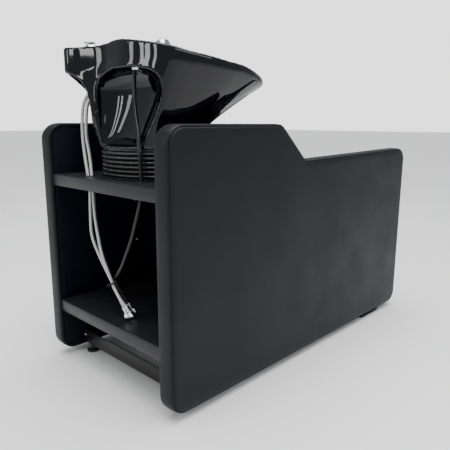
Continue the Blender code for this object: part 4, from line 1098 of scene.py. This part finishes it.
def cushion(name, node, low, high, place, rise):
    """A foam cushion in the frame's box: swollen, sewn, piped round its top and stitched."""
    low, high = Vector(low), Vector(high)
    inset = Vector((0.003, 0.004, 0.004))
    start, end = low + inset, high - inset * 1.4
    block = box_mesh(name, (start + end) / 2, end - start, offset=0.020, segments=4, profile=0.5)
    mesh = swell(name, block, rise)
    left, right = low.x + SEAM_INSET, high.x - SEAM_INSET
    front, back = low.y + SEAM_INSET, high.y - SEAM_INSET
    line = dense(round_corners([(x, y, SEAM_CORNER) for x, y in (
        (left, front), (right, front), (right, back), (left, back))], 6))
    top = high.z - SEAM_DROP
    grown_high = high + Vector((0.0, 0.004, rise * 0.8))
    mesh = sewn_surface(name, mesh, low + Vector((0.0005, 0.0, 0.0005)),
                        grown_high - Vector((0.0005, 0, 0)), line, top)
    bm = bmesh.new()
    bm.from_mesh(mesh)
    surface = BVHTree.FromBMesh(bm)
    bm.free()
    middle = (low + high) / 2
    seam = []
    for point in line:
        outside = Vector((math.copysign(0.004, point.x - middle.x), 0, 0.004))
        seam.append(surface.find_nearest(Vector((point.x, point.y, top)) + outside)[0])
    size = sizes()
    pipe = grown(name + "_piping", line_mesh("seam", seam), tree_of(piping_tree),
                 radius=size.piping_radius, spacing=0.006, material=finish("vinyl"))
    thread = []
    for point in seam:
        inward = (Vector((middle.x, middle.y, point.z)) - point).normalized()
        above = point + inward * STITCH_INSET + Vector((0, 0, 0.004))
        thread.append(surface.find_nearest(above)[0])
    mesh.transform(place)
    pipe.transform(place)
    body = settle(name, mesh, "vinyl", "unit", (node,), angle=180.0)
    settle(name + "_piping", pipe, "vinyl", "unit", angle=180.0)
    stitches(name + "_stitches", [place @ point for point in thread], "unit")


class BACKWASH_OT_cushions(bpy.types.Operator):
    """Upholster the seat and the back cushion"""
    bl_idname = "backwash.cushions"
    bl_label = "Cushions"

    def execute(self, context):
        rise = sizes().cushion_rise
        low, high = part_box("seat_cushion")
        cushion("seat_pad", "seat_cushion", low, high, Matrix.Identity(4), rise)
        inner = WIDTH / 2 - PANEL_T - GAP - 0.002
        lean = Matrix.Translation(BACK_LOW) @ Matrix.Rotation(-BACK_LEAN, 4, "X")
        stand = Matrix.Rotation(math.radians(90.0), 4, "X")
        cushion("back_pad", "back_cushion", (-inner, 0.0, GAP), (inner, BACK_LENGTH, BACK_PAD),
                lean @ stand, rise)
        return {"FINISHED"}


# ---------------------------------------------------------------- basin

def rim_value(angle, column):
    """Radius, height or band of the rim at any angle, on a smooth closed curve."""
    angle = (angle - RIM[0][0]) % 360.0 + RIM[0][0]
    count = len(RIM)
    index = max(step for step in range(count) if RIM[step][0] <= angle)
    start = RIM[index][0]
    span = (RIM[(index + 1) % count][0] - start) % 360.0
    values = [RIM[(index + offset) % count][column] for offset in (-1, 0, 1, 2)]
    return hermite(values, (angle - start) / span)


def rim_point(angle, inset=0.0):
    radius = rim_value(angle, 1) - inset
    turn = math.radians(angle)
    return RIM_CENTRE + radius * Vector((math.cos(turn), math.sin(turn)))


def skirt_point(angle, height, inset=0.0, draw=1.0):
    """A point of the outer wall, which spreads from the pedestal to the rim."""
    band_z = rim_value(angle, 2) - rim_value(angle, 3)
    rise = min(max((height - PEDESTAL_Z) / (band_z - PEDESTAL_Z), 0.0), 1.0)
    spread = rise ** 1.25
    turn = math.radians(angle)
    foot = BASE_CENTRE + Vector(((BASE_RADII[0] - inset) * math.cos(turn),
                                 (BASE_RADII[1] - inset) * math.sin(turn)))
    point = foot.lerp(rim_point(angle, inset), spread)
    centre = BASE_CENTRE.lerp(RIM_CENTRE, spread)
    point = centre + (point - centre) * draw
    return Vector((point.x, point.y, height))


def mouth_point(angle):
    """Edge where the deck turns down into the bowl."""
    turn = math.radians(angle)
    rear = 0.112 + 0.068 * abs(math.cos(turn)) ** 1.6
    wide = rim_value(angle, 1) - 0.032
    radius = min(wide, rear) if math.sin(turn) > -0.2 else wide
    if -0.2 < math.sin(turn) <= 0.0:
        share = (math.sin(turn) + 0.2) / 0.2
        radius = radius * share + wide * (1 - share)
    height = min(rim_value(angle, 2) - 0.016, DECK_Z - 0.002)
    flat = RIM_CENTRE + radius * Vector((math.cos(turn), math.sin(turn)))
    return Vector((flat.x, flat.y, height))


def bowl_point(angle, share):
    """A point of the bowl's inside, share 0 at its mouth and 1 at the drain."""
    mouth = mouth_point(angle)
    turn = math.radians(angle)
    foot = DRAIN + 0.036 * Vector((math.cos(turn), math.sin(turn), 0.0))
    swing = share * math.pi / 2
    level = math.cos(swing) ** 0.8
    drop = math.sin(swing) ** 0.8
    point = foot.lerp(mouth, level)
    point.z = mouth.z + (foot.z - mouth.z) * drop
    wall = skirt_point(angle, point.z, WALL)
    axis = Vector((0.0, 0.375, point.z))
    return wall if (point - axis).length > (wall - axis).length else point


def basin_rings(sides=192):
    """Rings up the outside, over the rim, across the deck and down the bowl."""
    angles = [360.0 * step / sides for step in range(sides)]
    rings = []
    for step in range(21):
        ring = []
        for angle in angles:
            band_z = rim_value(angle, 2) - rim_value(angle, 3)
            ring.append(skirt_point(angle, PEDESTAL_Z + step / 20 * (band_z - PEDESTAL_Z)))
        rings.append(ring)
    for inset, drop in ((0.0, 0.012), (0.0, 0.006), (0.0018, 0.0014), (0.0045, 0.0), (0.0085, 0.0),
                        (WALL - 0.001, 0.002), (WALL + 0.001, 0.006)):
        ring = []
        for angle in angles:
            flat = rim_point(angle, inset)
            ring.append(Vector((flat.x, flat.y, rim_value(angle, 2) - drop)))
        rings.append(ring)
    deck = []
    for angle in angles:
        flat = rim_point(angle, WALL + 0.003)
        deck.append(Vector((flat.x, flat.y, min(DECK_Z, rim_value(angle, 2) - 0.013))))
    rings.append(deck)
    for step in range(25):
        rings.append([bowl_point(angle, (step / 24) ** 1.1) for angle in angles])
    return rings


def smooth_rows(rows, fine=6):
    """Rows of numbers filled in on a smooth curve."""
    rows = [Vector(row) for row in rows]
    ends = [2 * rows[0] - rows[1]] + rows + [2 * rows[-1] - rows[-2]]
    out = []
    for index in range(len(rows) - 1):
        out += [hermite(ends[index:index + 4], step / fine) for step in range(fine)]
    return out + [rows[-1]]


def recess_rings(sides=96):
    """The arched recess: half-round sections that face the rear."""
    rings = []
    for height, centre, half_width, depth in smooth_rows(RECESS):
        ring = []
        for turn in turns(sides):
            across = half_width * flattened(math.cos(turn), 0.75)
            reach = depth if math.sin(turn) < 0 else 0.060
            along = reach * flattened(math.sin(turn), 0.75)
            ring.append(Vector((centre + across, 0.536 + along, height)))
        rings.append(ring)
    return rings


def ear_hollow_rings():
    """The space under the tap's ear, inside its walls and outside the bowl's."""
    rings = []
    for height in (0.682, 0.701, 0.720, 0.740, 0.755, 0.770, 0.785, 0.808, 0.830, 0.858,
                   DECK_Z - DECK_T):
        reach = 30.0 + 10.0 * min(max((height - 0.785) / 0.045, 0.0), 1.0)
        outer_angles = [14.0 + reach * step / 24 for step in range(25)]
        ring = [skirt_point(angle, height, 0.009) for angle in outer_angles]
        rise = min((height - 0.682) / 0.140, 1.0)
        for angle in reversed(outer_angles):
            clear = (mouth_point(angle).xy - RIM_CENTRE).length + 0.014
            draw = 0.70 + (clear / rim_value(angle, 1) - 0.70) * rise
            ring.append(skirt_point(angle, height, 0.009 * (1.0 - rise), draw))
        rings.append(ring)
    return rings


def oval_rings(centre, radii, heights, sides=96):
    return [[Vector((centre.x + (radii[0] + grow) * math.cos(turn),
                     centre.y + (radii[1] + grow) * math.sin(turn), height)) for turn in turns(sides)]
            for height, grow in heights]


def ear_sweep_rings():
    rings = []
    for height, across, along in smooth_rows(EAR_SWEEP):
        rings += oval_rings(EAR_CORNER, (across, along), ((height, 0.0),), 72)
    return rings


def bore_mesh(name, radius, low, depth):
    return lathe(name, ((0.0, depth), (radius, depth), (radius, 0.0), (0.0, 0.0)), low, sides=48,
                 corner=0.0001)


class BACKWASH_OT_basin(bpy.types.Operator):
    """Cast the glazed basin: neck rest, bowl, deck, tap ear and the arched recess"""
    bl_idname = "backwash.basin"
    bl_label = "Basin"

    def execute(self, context):
        body = linked("basin_casting", loft("basin_casting", basin_rings()))
        cuts = (
            loft("recess", recess_rings()), loft("ear_hollow", ear_hollow_rings()),
            loft("ear_sweep", ear_sweep_rings()),
            loft("pedestal_hollow", oval_rings(Vector((0.0, 0.407)), (0.112, 0.056),
                                               ((0.660, 0.0), (0.721, -0.004)))),
            bore_mesh("drain", 0.022, (DRAIN.x, DRAIN.y, 0.715), 0.060),
            bore_mesh("tap_bore", 0.0165, (TAP.x, TAP.y, 0.860), 0.070),
            bore_mesh("shower_bore", 0.0140, SHOWER_BORE - Vector((0.0, 0.0, 0.030)), 0.060),
        )
        cutters = [linked(mesh.name, mesh) for mesh in cuts]
        for cutter in cutters:
            modify(body, "BOOLEAN", operation="DIFFERENCE", object=cutter, solver="EXACT")
        modify(body, "REMESH", mode="VOXEL", voxel_size=sizes().glaze_voxel, use_smooth_shade=True)
        modify(body, "SMOOTH", factor=0.5, iterations=10)
        mesh = evaluated(body)
        for cutter in cutters:
            bpy.data.objects.remove(cutter, do_unlink=True)
        settle("glazed_basin", mesh, "glaze", "basin", ("basin",), angle=180.0)
        return {"FINISHED"}


class BACKWASH_OT_bellows(bpy.types.Operator):
    """Mould the pleated bellows between the shelf and the pedestal"""
    bl_idname = "backwash.bellows"
    bl_label = "Bellows"

    def execute(self, context):
        low, high, flange = UPPER_TOP + GAP, PEDESTAL_Z - GAP, 0.005
        pleats, fine = 6, 14
        span = (high - low - 2 * flange) / pleats
        heights = [(low, 0.0040), (low + 0.0006, 0.0046), (low + flange - 0.0012, 0.0046),
                   (low + flange - 0.0004, 0.0030)]
        for pleat in range(pleats):
            for step in range(fine):
                share = step / fine
                bulge = math.sin(math.pi * share) ** 0.55
                heights.append((low + flange + (pleat + share) * span, -0.0085 + 0.0092 * bulge))
        heights += [(high - flange, -0.0075), (high - flange + 0.0008, -0.0040), (high, -0.0040)]
        centre = Vector(BELLOWS_CENTRE)
        outer = oval_rings(centre, BELLOWS_RADII, heights)
        inner = oval_rings(centre, BELLOWS_RADII, [(z, grow - 0.0035) for z, grow in heights])
        bm = bmesh.new()
        rows = [[bm.verts.new(point) for point in ring] for ring in outer + inner[::-1]]
        for index, lower in enumerate(rows):
            upper = rows[(index + 1) % len(rows)]
            for step in range(len(lower)):
                ahead = (step + 1) % len(lower)
                bm.faces.new((lower[step], lower[ahead], upper[ahead], upper[step]))
        settle("pleated_bellows", mesh_from("pleated_bellows", bm), "rubber", "unit", ("bellows",),
               ((*BELLOWS_CENTRE, low + 0.004), (*BELLOWS_CENTRE, high - 0.002)), 50.0)
        return {"FINISHED"}


# ---------------------------------------------------------------- tilt, waste, tap and hand shower

class BACKWASH_OT_tilt(bpy.types.Operator):
    """Finish the tilt brackets and turn their pins"""
    bl_idname = "backwash.tilt"
    bl_label = "Tilt bracket"

    def execute(self, context):
        crisp_copy("tilt_base", "black_steel", "unit", 0.0005)
        crisp_copy("tilt_head", "black_steel", "basin", 0.0005)
        for side, label in ((1, "left"), (-1, "right")):
            profile = ((0.0, 0.0088), (0.004, 0.0088), (0.0062, 0.0082), (0.0078, 0.0070),
                       (0.008, 0.0040), (0.0049, 0.0040), (0.0049, -0.0060), (0.0042, -0.0070),
                       (0.0, -0.0070))
            turned("pivot_pin_" + label, profile, (side * 0.072, TILT_AXIS.y, TILT_AXIS.z), "steel",
                   "unit", ("tilt_pin_" + label,), axis=(side, 0, 0), sides=40, corner=0.0004)
        return {"FINISHED"}


class BACKWASH_OT_waste(bpy.types.Operator):
    """Turn the drain's flange, strainer, nut and corrugated tail"""
    bl_idname = "backwash.waste"
    bl_label = "Waste"

    def execute(self, context):
        x, y, z = DRAIN
        turned("drain_flange", (
            (0.0205, 0.0003), (0.0215, 0.0012), (0.0262, 0.0013), (0.031, 0.0006), (0.031, 0.0003),
            (0.0215, 0.0003), (0.0215, -0.034), (0.0180, -0.034), (0.0180, -0.0008)),
            DRAIN, "chrome", "basin", ("waste_flange",), sides=96, closed=True, corner=0.0002)
        plate = lathe("drain_strainer", (
            (0.0, 0.0085), (0.0030, 0.0084), (0.0040, 0.0076), (0.0042, 0.0046), (0.0060, 0.0042),
            (0.0170, 0.0035), (0.0175, 0.0015), (0.0172, 0.0012), (0.0170, -0.0060), (0.0158, -0.0060),
            (0.0156, 0.0015), (0.0, 0.0018)), DRAIN, sides=96, corner=0.0004)
        holed = grown("drain_strainer", plate, tree_of(perforated_tree), hole_radius=0.0014,
                      centre=(x, y, z), material=finish("steel"))
        settle("drain_strainer", holed, "steel", "strainer", ("strainer",))
        turned("drain_nut", (
            (0.0240, -0.0257), (0.0262, -0.0262), (0.0275, -0.0275), (0.0275, -0.0320),
            (0.0262, -0.0333), (0.0222, -0.0335), (0.0222, -0.0255)),
            DRAIN, "black_plastic", "basin", ("waste_nut",), sides=8, closed=True, corner=0.0003)
        profile = [(0.0178, -0.0343), (0.0207, -0.0343), (0.0207, -0.060)]
        for ridge in range(16):
            base = -0.064 - ridge * 0.0078
            profile += [(0.0199, base), (0.0217, base - 0.0018), (0.0217, base - 0.0040),
                        (0.0199, base - 0.0058)]
        profile += [(0.0207, -0.192), (0.0207, -0.204), (0.0178, -0.204)]
        turned("drain_tail", profile, DRAIN, "black_plastic", "unit", ("waste_tail",),
               ((x, y, z - 0.170), (x, y, z - 0.040)), sides=48, closed=True, corner=0.0004)
        return {"FINISHED"}


def lever_mesh():
    """A domed cap over the ball, with a flat tapering arm."""
    outer, inner = BALL_R + 0.003, BALL_R + GAP
    dome = []
    for radius, arc in ((outer, range(90, 27, -3)), (inner, range(30, 91, 3))):
        for degrees in arc:
            turn = math.radians(degrees)
            dome.append((max(radius * math.cos(turn), 0.0), BALL_HEIGHT + radius * math.sin(turn)))
    dome[0], dome[-1] = (0.0, BALL_HEIGHT + outer), (0.0, BALL_HEIGHT + inner)
    cap = lathe("mixer_lever", dome, (TAP.x, TAP.y, DECK_Z), sides=72, corner=0.0002)
    sections = smooth_rows((
        (-0.012, 0.0070, 0.0670), (-0.006, 0.0125, 0.0668), (0.004, 0.0140, 0.0664),
        (0.014, 0.0122, 0.0662), (0.024, 0.0098, 0.0696), (0.034, 0.0085, 0.0719),
        (0.0425, 0.0074, 0.0735), (0.0460, 0.0058, 0.0742)), 4)
    rings = []
    for row, (along, half, low) in enumerate(sections):
        ends = min(row, len(sections) - 1 - row)
        thick = 0.0042 * (0.65 if ends == 0 else 0.9 if ends == 1 else 1.0)
        ring = []
        for turn in turns(28):
            across = half * flattened(math.cos(turn), 0.55)
            rise = thick / 2 * flattened(math.sin(turn), 0.7)
            ring.append(Vector((along, across, low + 0.0023 + rise)))
        rings.append(ring)
    arm = loft("mixer_arm", rings)
    arm.transform(Matrix.Translation((TAP.x, TAP.y, DECK_Z)) @ Matrix.Rotation(LEVER_TURN, 4, "Z"))
    return joined("mixer_lever", cap, arm)


class BACKWASH_OT_tap(bpy.types.Operator):
    """Turn the single-lever mixer: body, ball, lever, shank and nut"""
    bl_idname = "backwash.tap"
    bl_label = "Tap"

    def execute(self, context):
        foot = (TAP.x, TAP.y, DECK_Z)
        turned("mixer_body", (
            (0.0, 0.043), (0.0198, 0.043), (0.0210, 0.0422), (0.0215, 0.0400), (0.0215, 0.0345),
            (0.0210, 0.0340), (0.0210, 0.0332), (0.0215, 0.0327), (0.0215, 0.0075), (0.0219, 0.0058),
            (0.0235, 0.0045), (0.0235, GAP), (0.0, GAP)),
            foot, "chrome", "basin", ("tap_body",), sides=96, corner=0.0004)
        ball = [(0.0, BALL_HEIGHT + BALL_R)]
        for step in range(1, 30):
            turn = math.radians(90.0 - 3.0 * step)
            ball.append((BALL_R * math.cos(turn), BALL_HEIGHT + BALL_R * math.sin(turn)))
        ball += [(0.0205, BALL_HEIGHT), (0.0205, 0.0433), (0.0, 0.0433)]
        turned("mixer_ball", ball, foot, "chrome", "tap_swivel", ("tap_swivel",), sides=96,
               corner=0.0003)
        settle("mixer_lever", lever_mesh(), "chrome", "tap_lever", ("tap_lever",), angle=50.0)
        thread = [(0.0, 0.0), (0.0145, 0.0)]
        for turn in range(24):
            thread += [(0.0145, -0.0010 - turn * 0.0020), (0.0138, -0.0020 - turn * 0.0020)]
        thread += [(0.0145, -0.050), (0.0, -0.050)]
        turned("mixer_shank", thread, foot, "steel", "basin", ("tap_shank",), sides=48,
               corner=0.0002)
        turned("mixer_nut", (
            (0.0150, 0.007), (0.0188, 0.007), (0.0200, 0.0062), (0.0200, 0.0008), (0.0188, 0.0),
            (0.0150, 0.0)), (TAP.x, TAP.y, DECK_Z - DECK_T - 0.0080), "steel", "basin",
            ("tap_nut",), sides=6, closed=True, corner=0.0002)
        return {"FINISHED"}


class BACKWASH_OT_hand_shower(bpy.types.Operator):
    """Turn the hand shower, its sprayer face and the guide in the deck"""
    bl_idname = "backwash.hand_shower"
    bl_label = "Hand shower"

    def execute(self, context):
        turned("shower_ferrule", (
            (0.0140, 0.0028), (0.0165, 0.0028), (0.0175, 0.0018), (0.0175, GAP), (0.0136, GAP),
            (0.0136, -0.0185), (0.0120, -0.0185), (0.0120, 0.0000)),
            SHOWER_BORE, "chrome", "basin", ("shower_guide",), sides=72, closed=True, corner=0.0004)
        turned("shower_grip", (
            (0.0, 0.036), (0.0122, 0.036), (0.0128, 0.0350), (0.0128, 0.028), (0.0124, 0.0205),
            (0.0119, 0.0140), (0.0112, 0.0090), (0.0104, 0.0045), (0.0090, 0.0), (0.0, 0.0)),
            SHOWER_START, "gloss_black", "hand_shower", ("shower_handle",), axis=SHOWER_AXIS, sides=72)
        start = SHOWER_START + SHOWER_AXIS * (0.036 + GAP)
        turned("shower_rose", (
            (0.0, 0.0485), (0.0150, 0.0485), (0.0155, 0.0488), (0.0165, 0.0480), (0.0190, 0.0450),
            (0.0208, 0.0408), (0.0215, 0.0360), (0.0215, 0.0310), (0.0212, 0.0260), (0.0200, 0.0170),
            (0.0180, 0.0100), (0.0156, 0.0042), (0.0130, 0.0), (0.0, 0.0)),
            start, "chrome", "hand_shower", ("shower_head",), axis=SHOWER_AXIS, sides=96)
        across = SHOWER_AXIS.orthogonal().normalized()
        other = SHOWER_AXIS.cross(across)
        spots = []
        for count, radius in ((1, 0.0), (6, 0.0045), (12, 0.0088), (18, 0.0130)):
            for turn in turns(count):
                aside = radius * (math.cos(turn) * across + math.sin(turn) * other)
                spots.append((start + SHOWER_AXIS * 0.0484 + aside, SHOWER_AXIS))
        jet = lathe("spray_jet", ((0.0, 0.0010), (0.0006, 0.0010), (0.0011, 0.0), (0.0, -0.0003)),
                    sides=10, corner=0.0001)
        placed("spray_jets", jet, spots, "rubber", "hand_shower")
        return {"FINISHED"}


class BACKWASH_OT_grommets_and_feet(bpy.types.Operator):
    """Fit the hose grommets and the levelling feet"""
    bl_idname = "backwash.grommets_and_feet"
    bl_label = "Grommets and feet"

    def execute(self, context):
        for label, hole, radius in (("left", LEFT_HOLE, LEFT_HOLE_R),
                                    ("right", RIGHT_HOLE, RIGHT_HOLE_R)):
            bore, lip, waist = radius - 0.0015, radius + 0.003, radius - GAP
            profile = ((bore, 0.0018), (lip, 0.0018), (lip, GAP), (waist, GAP), (waist, -0.0023),
                       (lip, -0.0023), (lip, -0.0038), (bore, -0.0038))
            turned("hose_ring_" + label, profile, (hole.x, hole.y, UPPER_TOP), "rubber", "unit",
                   ("hose_grommet_" + label,), sides=72, closed=True)
        for side, label in ((1, "left"), (-1, "right")):
            x, y = side * FOOT_PLACE[0], FOOT_PLACE[1]
            profile = [(0.0, 0.052), (0.0036, 0.052), (0.0040, 0.0515)]
            for turn in range(22):
                profile += [(0.0040, 0.0510 - turn * 0.0015), (0.0036, 0.05025 - turn * 0.0015)]
            profile += [(0.0040, 0.0165), (0.0085, 0.0160), (0.0090, 0.0150), (0.0090, 0.0090),
                        (0.0175, 0.0070), (0.0192, 0.0060), (0.0200, 0.0045), (0.0200, 0.0),
                        (0.0, 0.0)]
            turned("foot_" + label + "_turned", profile, (x, y, 0.0), "black_plastic",
                   "foot_" + label, ("levelling_foot_" + label,), sides=48, corner=0.0003)
            nut_height = 0.0065
            turned("lock_nut_" + label, (
                (0.0044, nut_height), (0.0074, nut_height), (0.0080, 0.0060), (0.0080, 0.0005),
                (0.0074, 0.0), (0.0044, 0.0)), (x, y, RAIL_UNDERSIDE - GAP - nut_height), "steel",
                "unit", ("foot_lock_nut_" + label,), sides=6, closed=True, corner=0.0001)
        return {"FINISHED"}


# ---------------------------------------------------------------- stage

def light(name, kind, power):
    lamp = linked(name, bpy.data.lights.new(name, kind))
    lamp.data.energy = power
    return lamp


def soft_light(name, place, aim, size, power):
    """A rectangular softbox that faces a point."""
    lamp = light(name, "AREA", power)
    lamp.data.shape, lamp.data.size, lamp.data.size_y = "RECTANGLE", size[0], size[1]
    lamp.location = place
    lamp.rotation_euler = (Vector(aim) - Vector(place)).to_track_quat("-Z", "Y").to_euler()


class BACKWASH_OT_stage(bpy.types.Operator):
    """Lay a plain pale floor and set soft studio lights"""
    bl_idname = "backwash.stage"
    bl_label = "Stage"

    def execute(self, context):
        bm = bmesh.new()
        bmesh.ops.create_grid(bm, x_segments=1, y_segments=1, size=40.0)
        floor = linked("pale_floor", mesh_from("pale_floor", bm))
        paper = bpy.data.materials.new("pale_paper")
        paper.use_nodes = True
        shader = paper.node_tree.nodes["Principled BSDF"]
        shader.inputs["Base Color"].default_value = (0.90, 0.90, 0.90, 1.0)
        shader.inputs["Roughness"].default_value = 0.9
        shader.inputs["Specular IOR Level"].default_value = 0.1
        floor.data.materials.append(paper)
        world = bpy.data.worlds.new("soft_room")
        world.use_nodes = True
        tree = world.node_tree
        room = tree.nodes["Background"]
        room.inputs["Color"].default_value = (0.95, 0.97, 1.0, 1.0)
        room.inputs["Strength"].default_value = ROOM_STRENGTH
        backdrop = add(tree, "ShaderNodeBackground", (
            ("Color", (1.0, 1.0, 1.0, 1.0)), ("Strength", BACKDROP_STRENGTH)))
        path = tree.nodes.new("ShaderNodeLightPath")
        chosen = add(tree, "ShaderNodeMixShader", (
            (0, path.outputs["Is Camera Ray"]), (1, room.outputs[0]), (2, backdrop.outputs[0])))
        tree.links.new(chosen.outputs[0], tree.nodes["World Output"].inputs["Surface"])
        context.scene.world = world
        soft_light("overhead_softbox", (-0.5, 0.3, 3.2), (-0.1, 0.0, 0.0), (3.4, 3.4), 95.0)
        daylight = light("even_daylight", "SUN", DAYLIGHT_STRENGTH)
        daylight.data.angle = math.radians(70.0)
        daylight.rotation_euler = (math.radians(8.0), 0.0, 0.0)
        soft_light("side_softbox", (-3.2, 0.2, 2.3), (0.0, 0.0, 0.6), (3.4, 0.7), 30.0)
        for number, (x, width) in enumerate(((0.20, 0.34), (0.95, 0.30), (2.40, 0.5))):
            soft_light(f"window_{number + 1}", (x, 3.6, 2.0), (0.0, 0.3, 0.85), (width, 1.4), 14.0)
        return {"FINISHED"}


# ---------------------------------------------------------------- panel and registration

PIECES = (
    BACKWASH_OT_camera, BACKWASH_OT_hoses, BACKWASH_OT_tie, BACKWASH_OT_side_panels,
    BACKWASH_OT_boards, BACKWASH_OT_shelves, BACKWASH_OT_cushions, BACKWASH_OT_basin,
    BACKWASH_OT_bellows, BACKWASH_OT_tilt, BACKWASH_OT_waste, BACKWASH_OT_tap,
    BACKWASH_OT_hand_shower, BACKWASH_OT_grommets_and_feet, BACKWASH_OT_stage,
)


class BACKWASH_PT_pieces(bpy.types.Panel):
    """Lists the unit's sizes, colours and pieces"""
    bl_idname = "BACKWASH_PT_pieces"
    bl_label = "Backwash unit"
    bl_space_type = "VIEW_3D"
    bl_region_type = "UI"
    bl_category = "Backwash"

    def draw(self, context):
        for settings in (context.scene.backwash_sizes, context.scene.backwash_colours):
            box = self.layout.box()
            for name in settings.bl_rna.properties.keys():
                if name not in ("rna_type", "name"):
                    box.prop(settings, name)
        for piece in PIECES:
            self.layout.operator(piece.bl_idname)


CLASSES = (BackwashSizes, BackwashColours, *PIECES, BACKWASH_PT_pieces)


def register():
    for made in CLASSES:
        bpy.utils.register_class(made)
    bpy.types.Scene.backwash_sizes = bpy.props.PointerProperty(type=BackwashSizes)
    bpy.types.Scene.backwash_colours = bpy.props.PointerProperty(type=BackwashColours)


def unregister():
    del bpy.types.Scene.backwash_colours
    del bpy.types.Scene.backwash_sizes
    for made in reversed(CLASSES):
        bpy.utils.unregister_class(made)


def main():
    register()
    for piece in PIECES:
        family, name = piece.bl_idname.split(".")
        getattr(getattr(bpy.ops, family), name)()


if __name__ == "__main__":
    main()
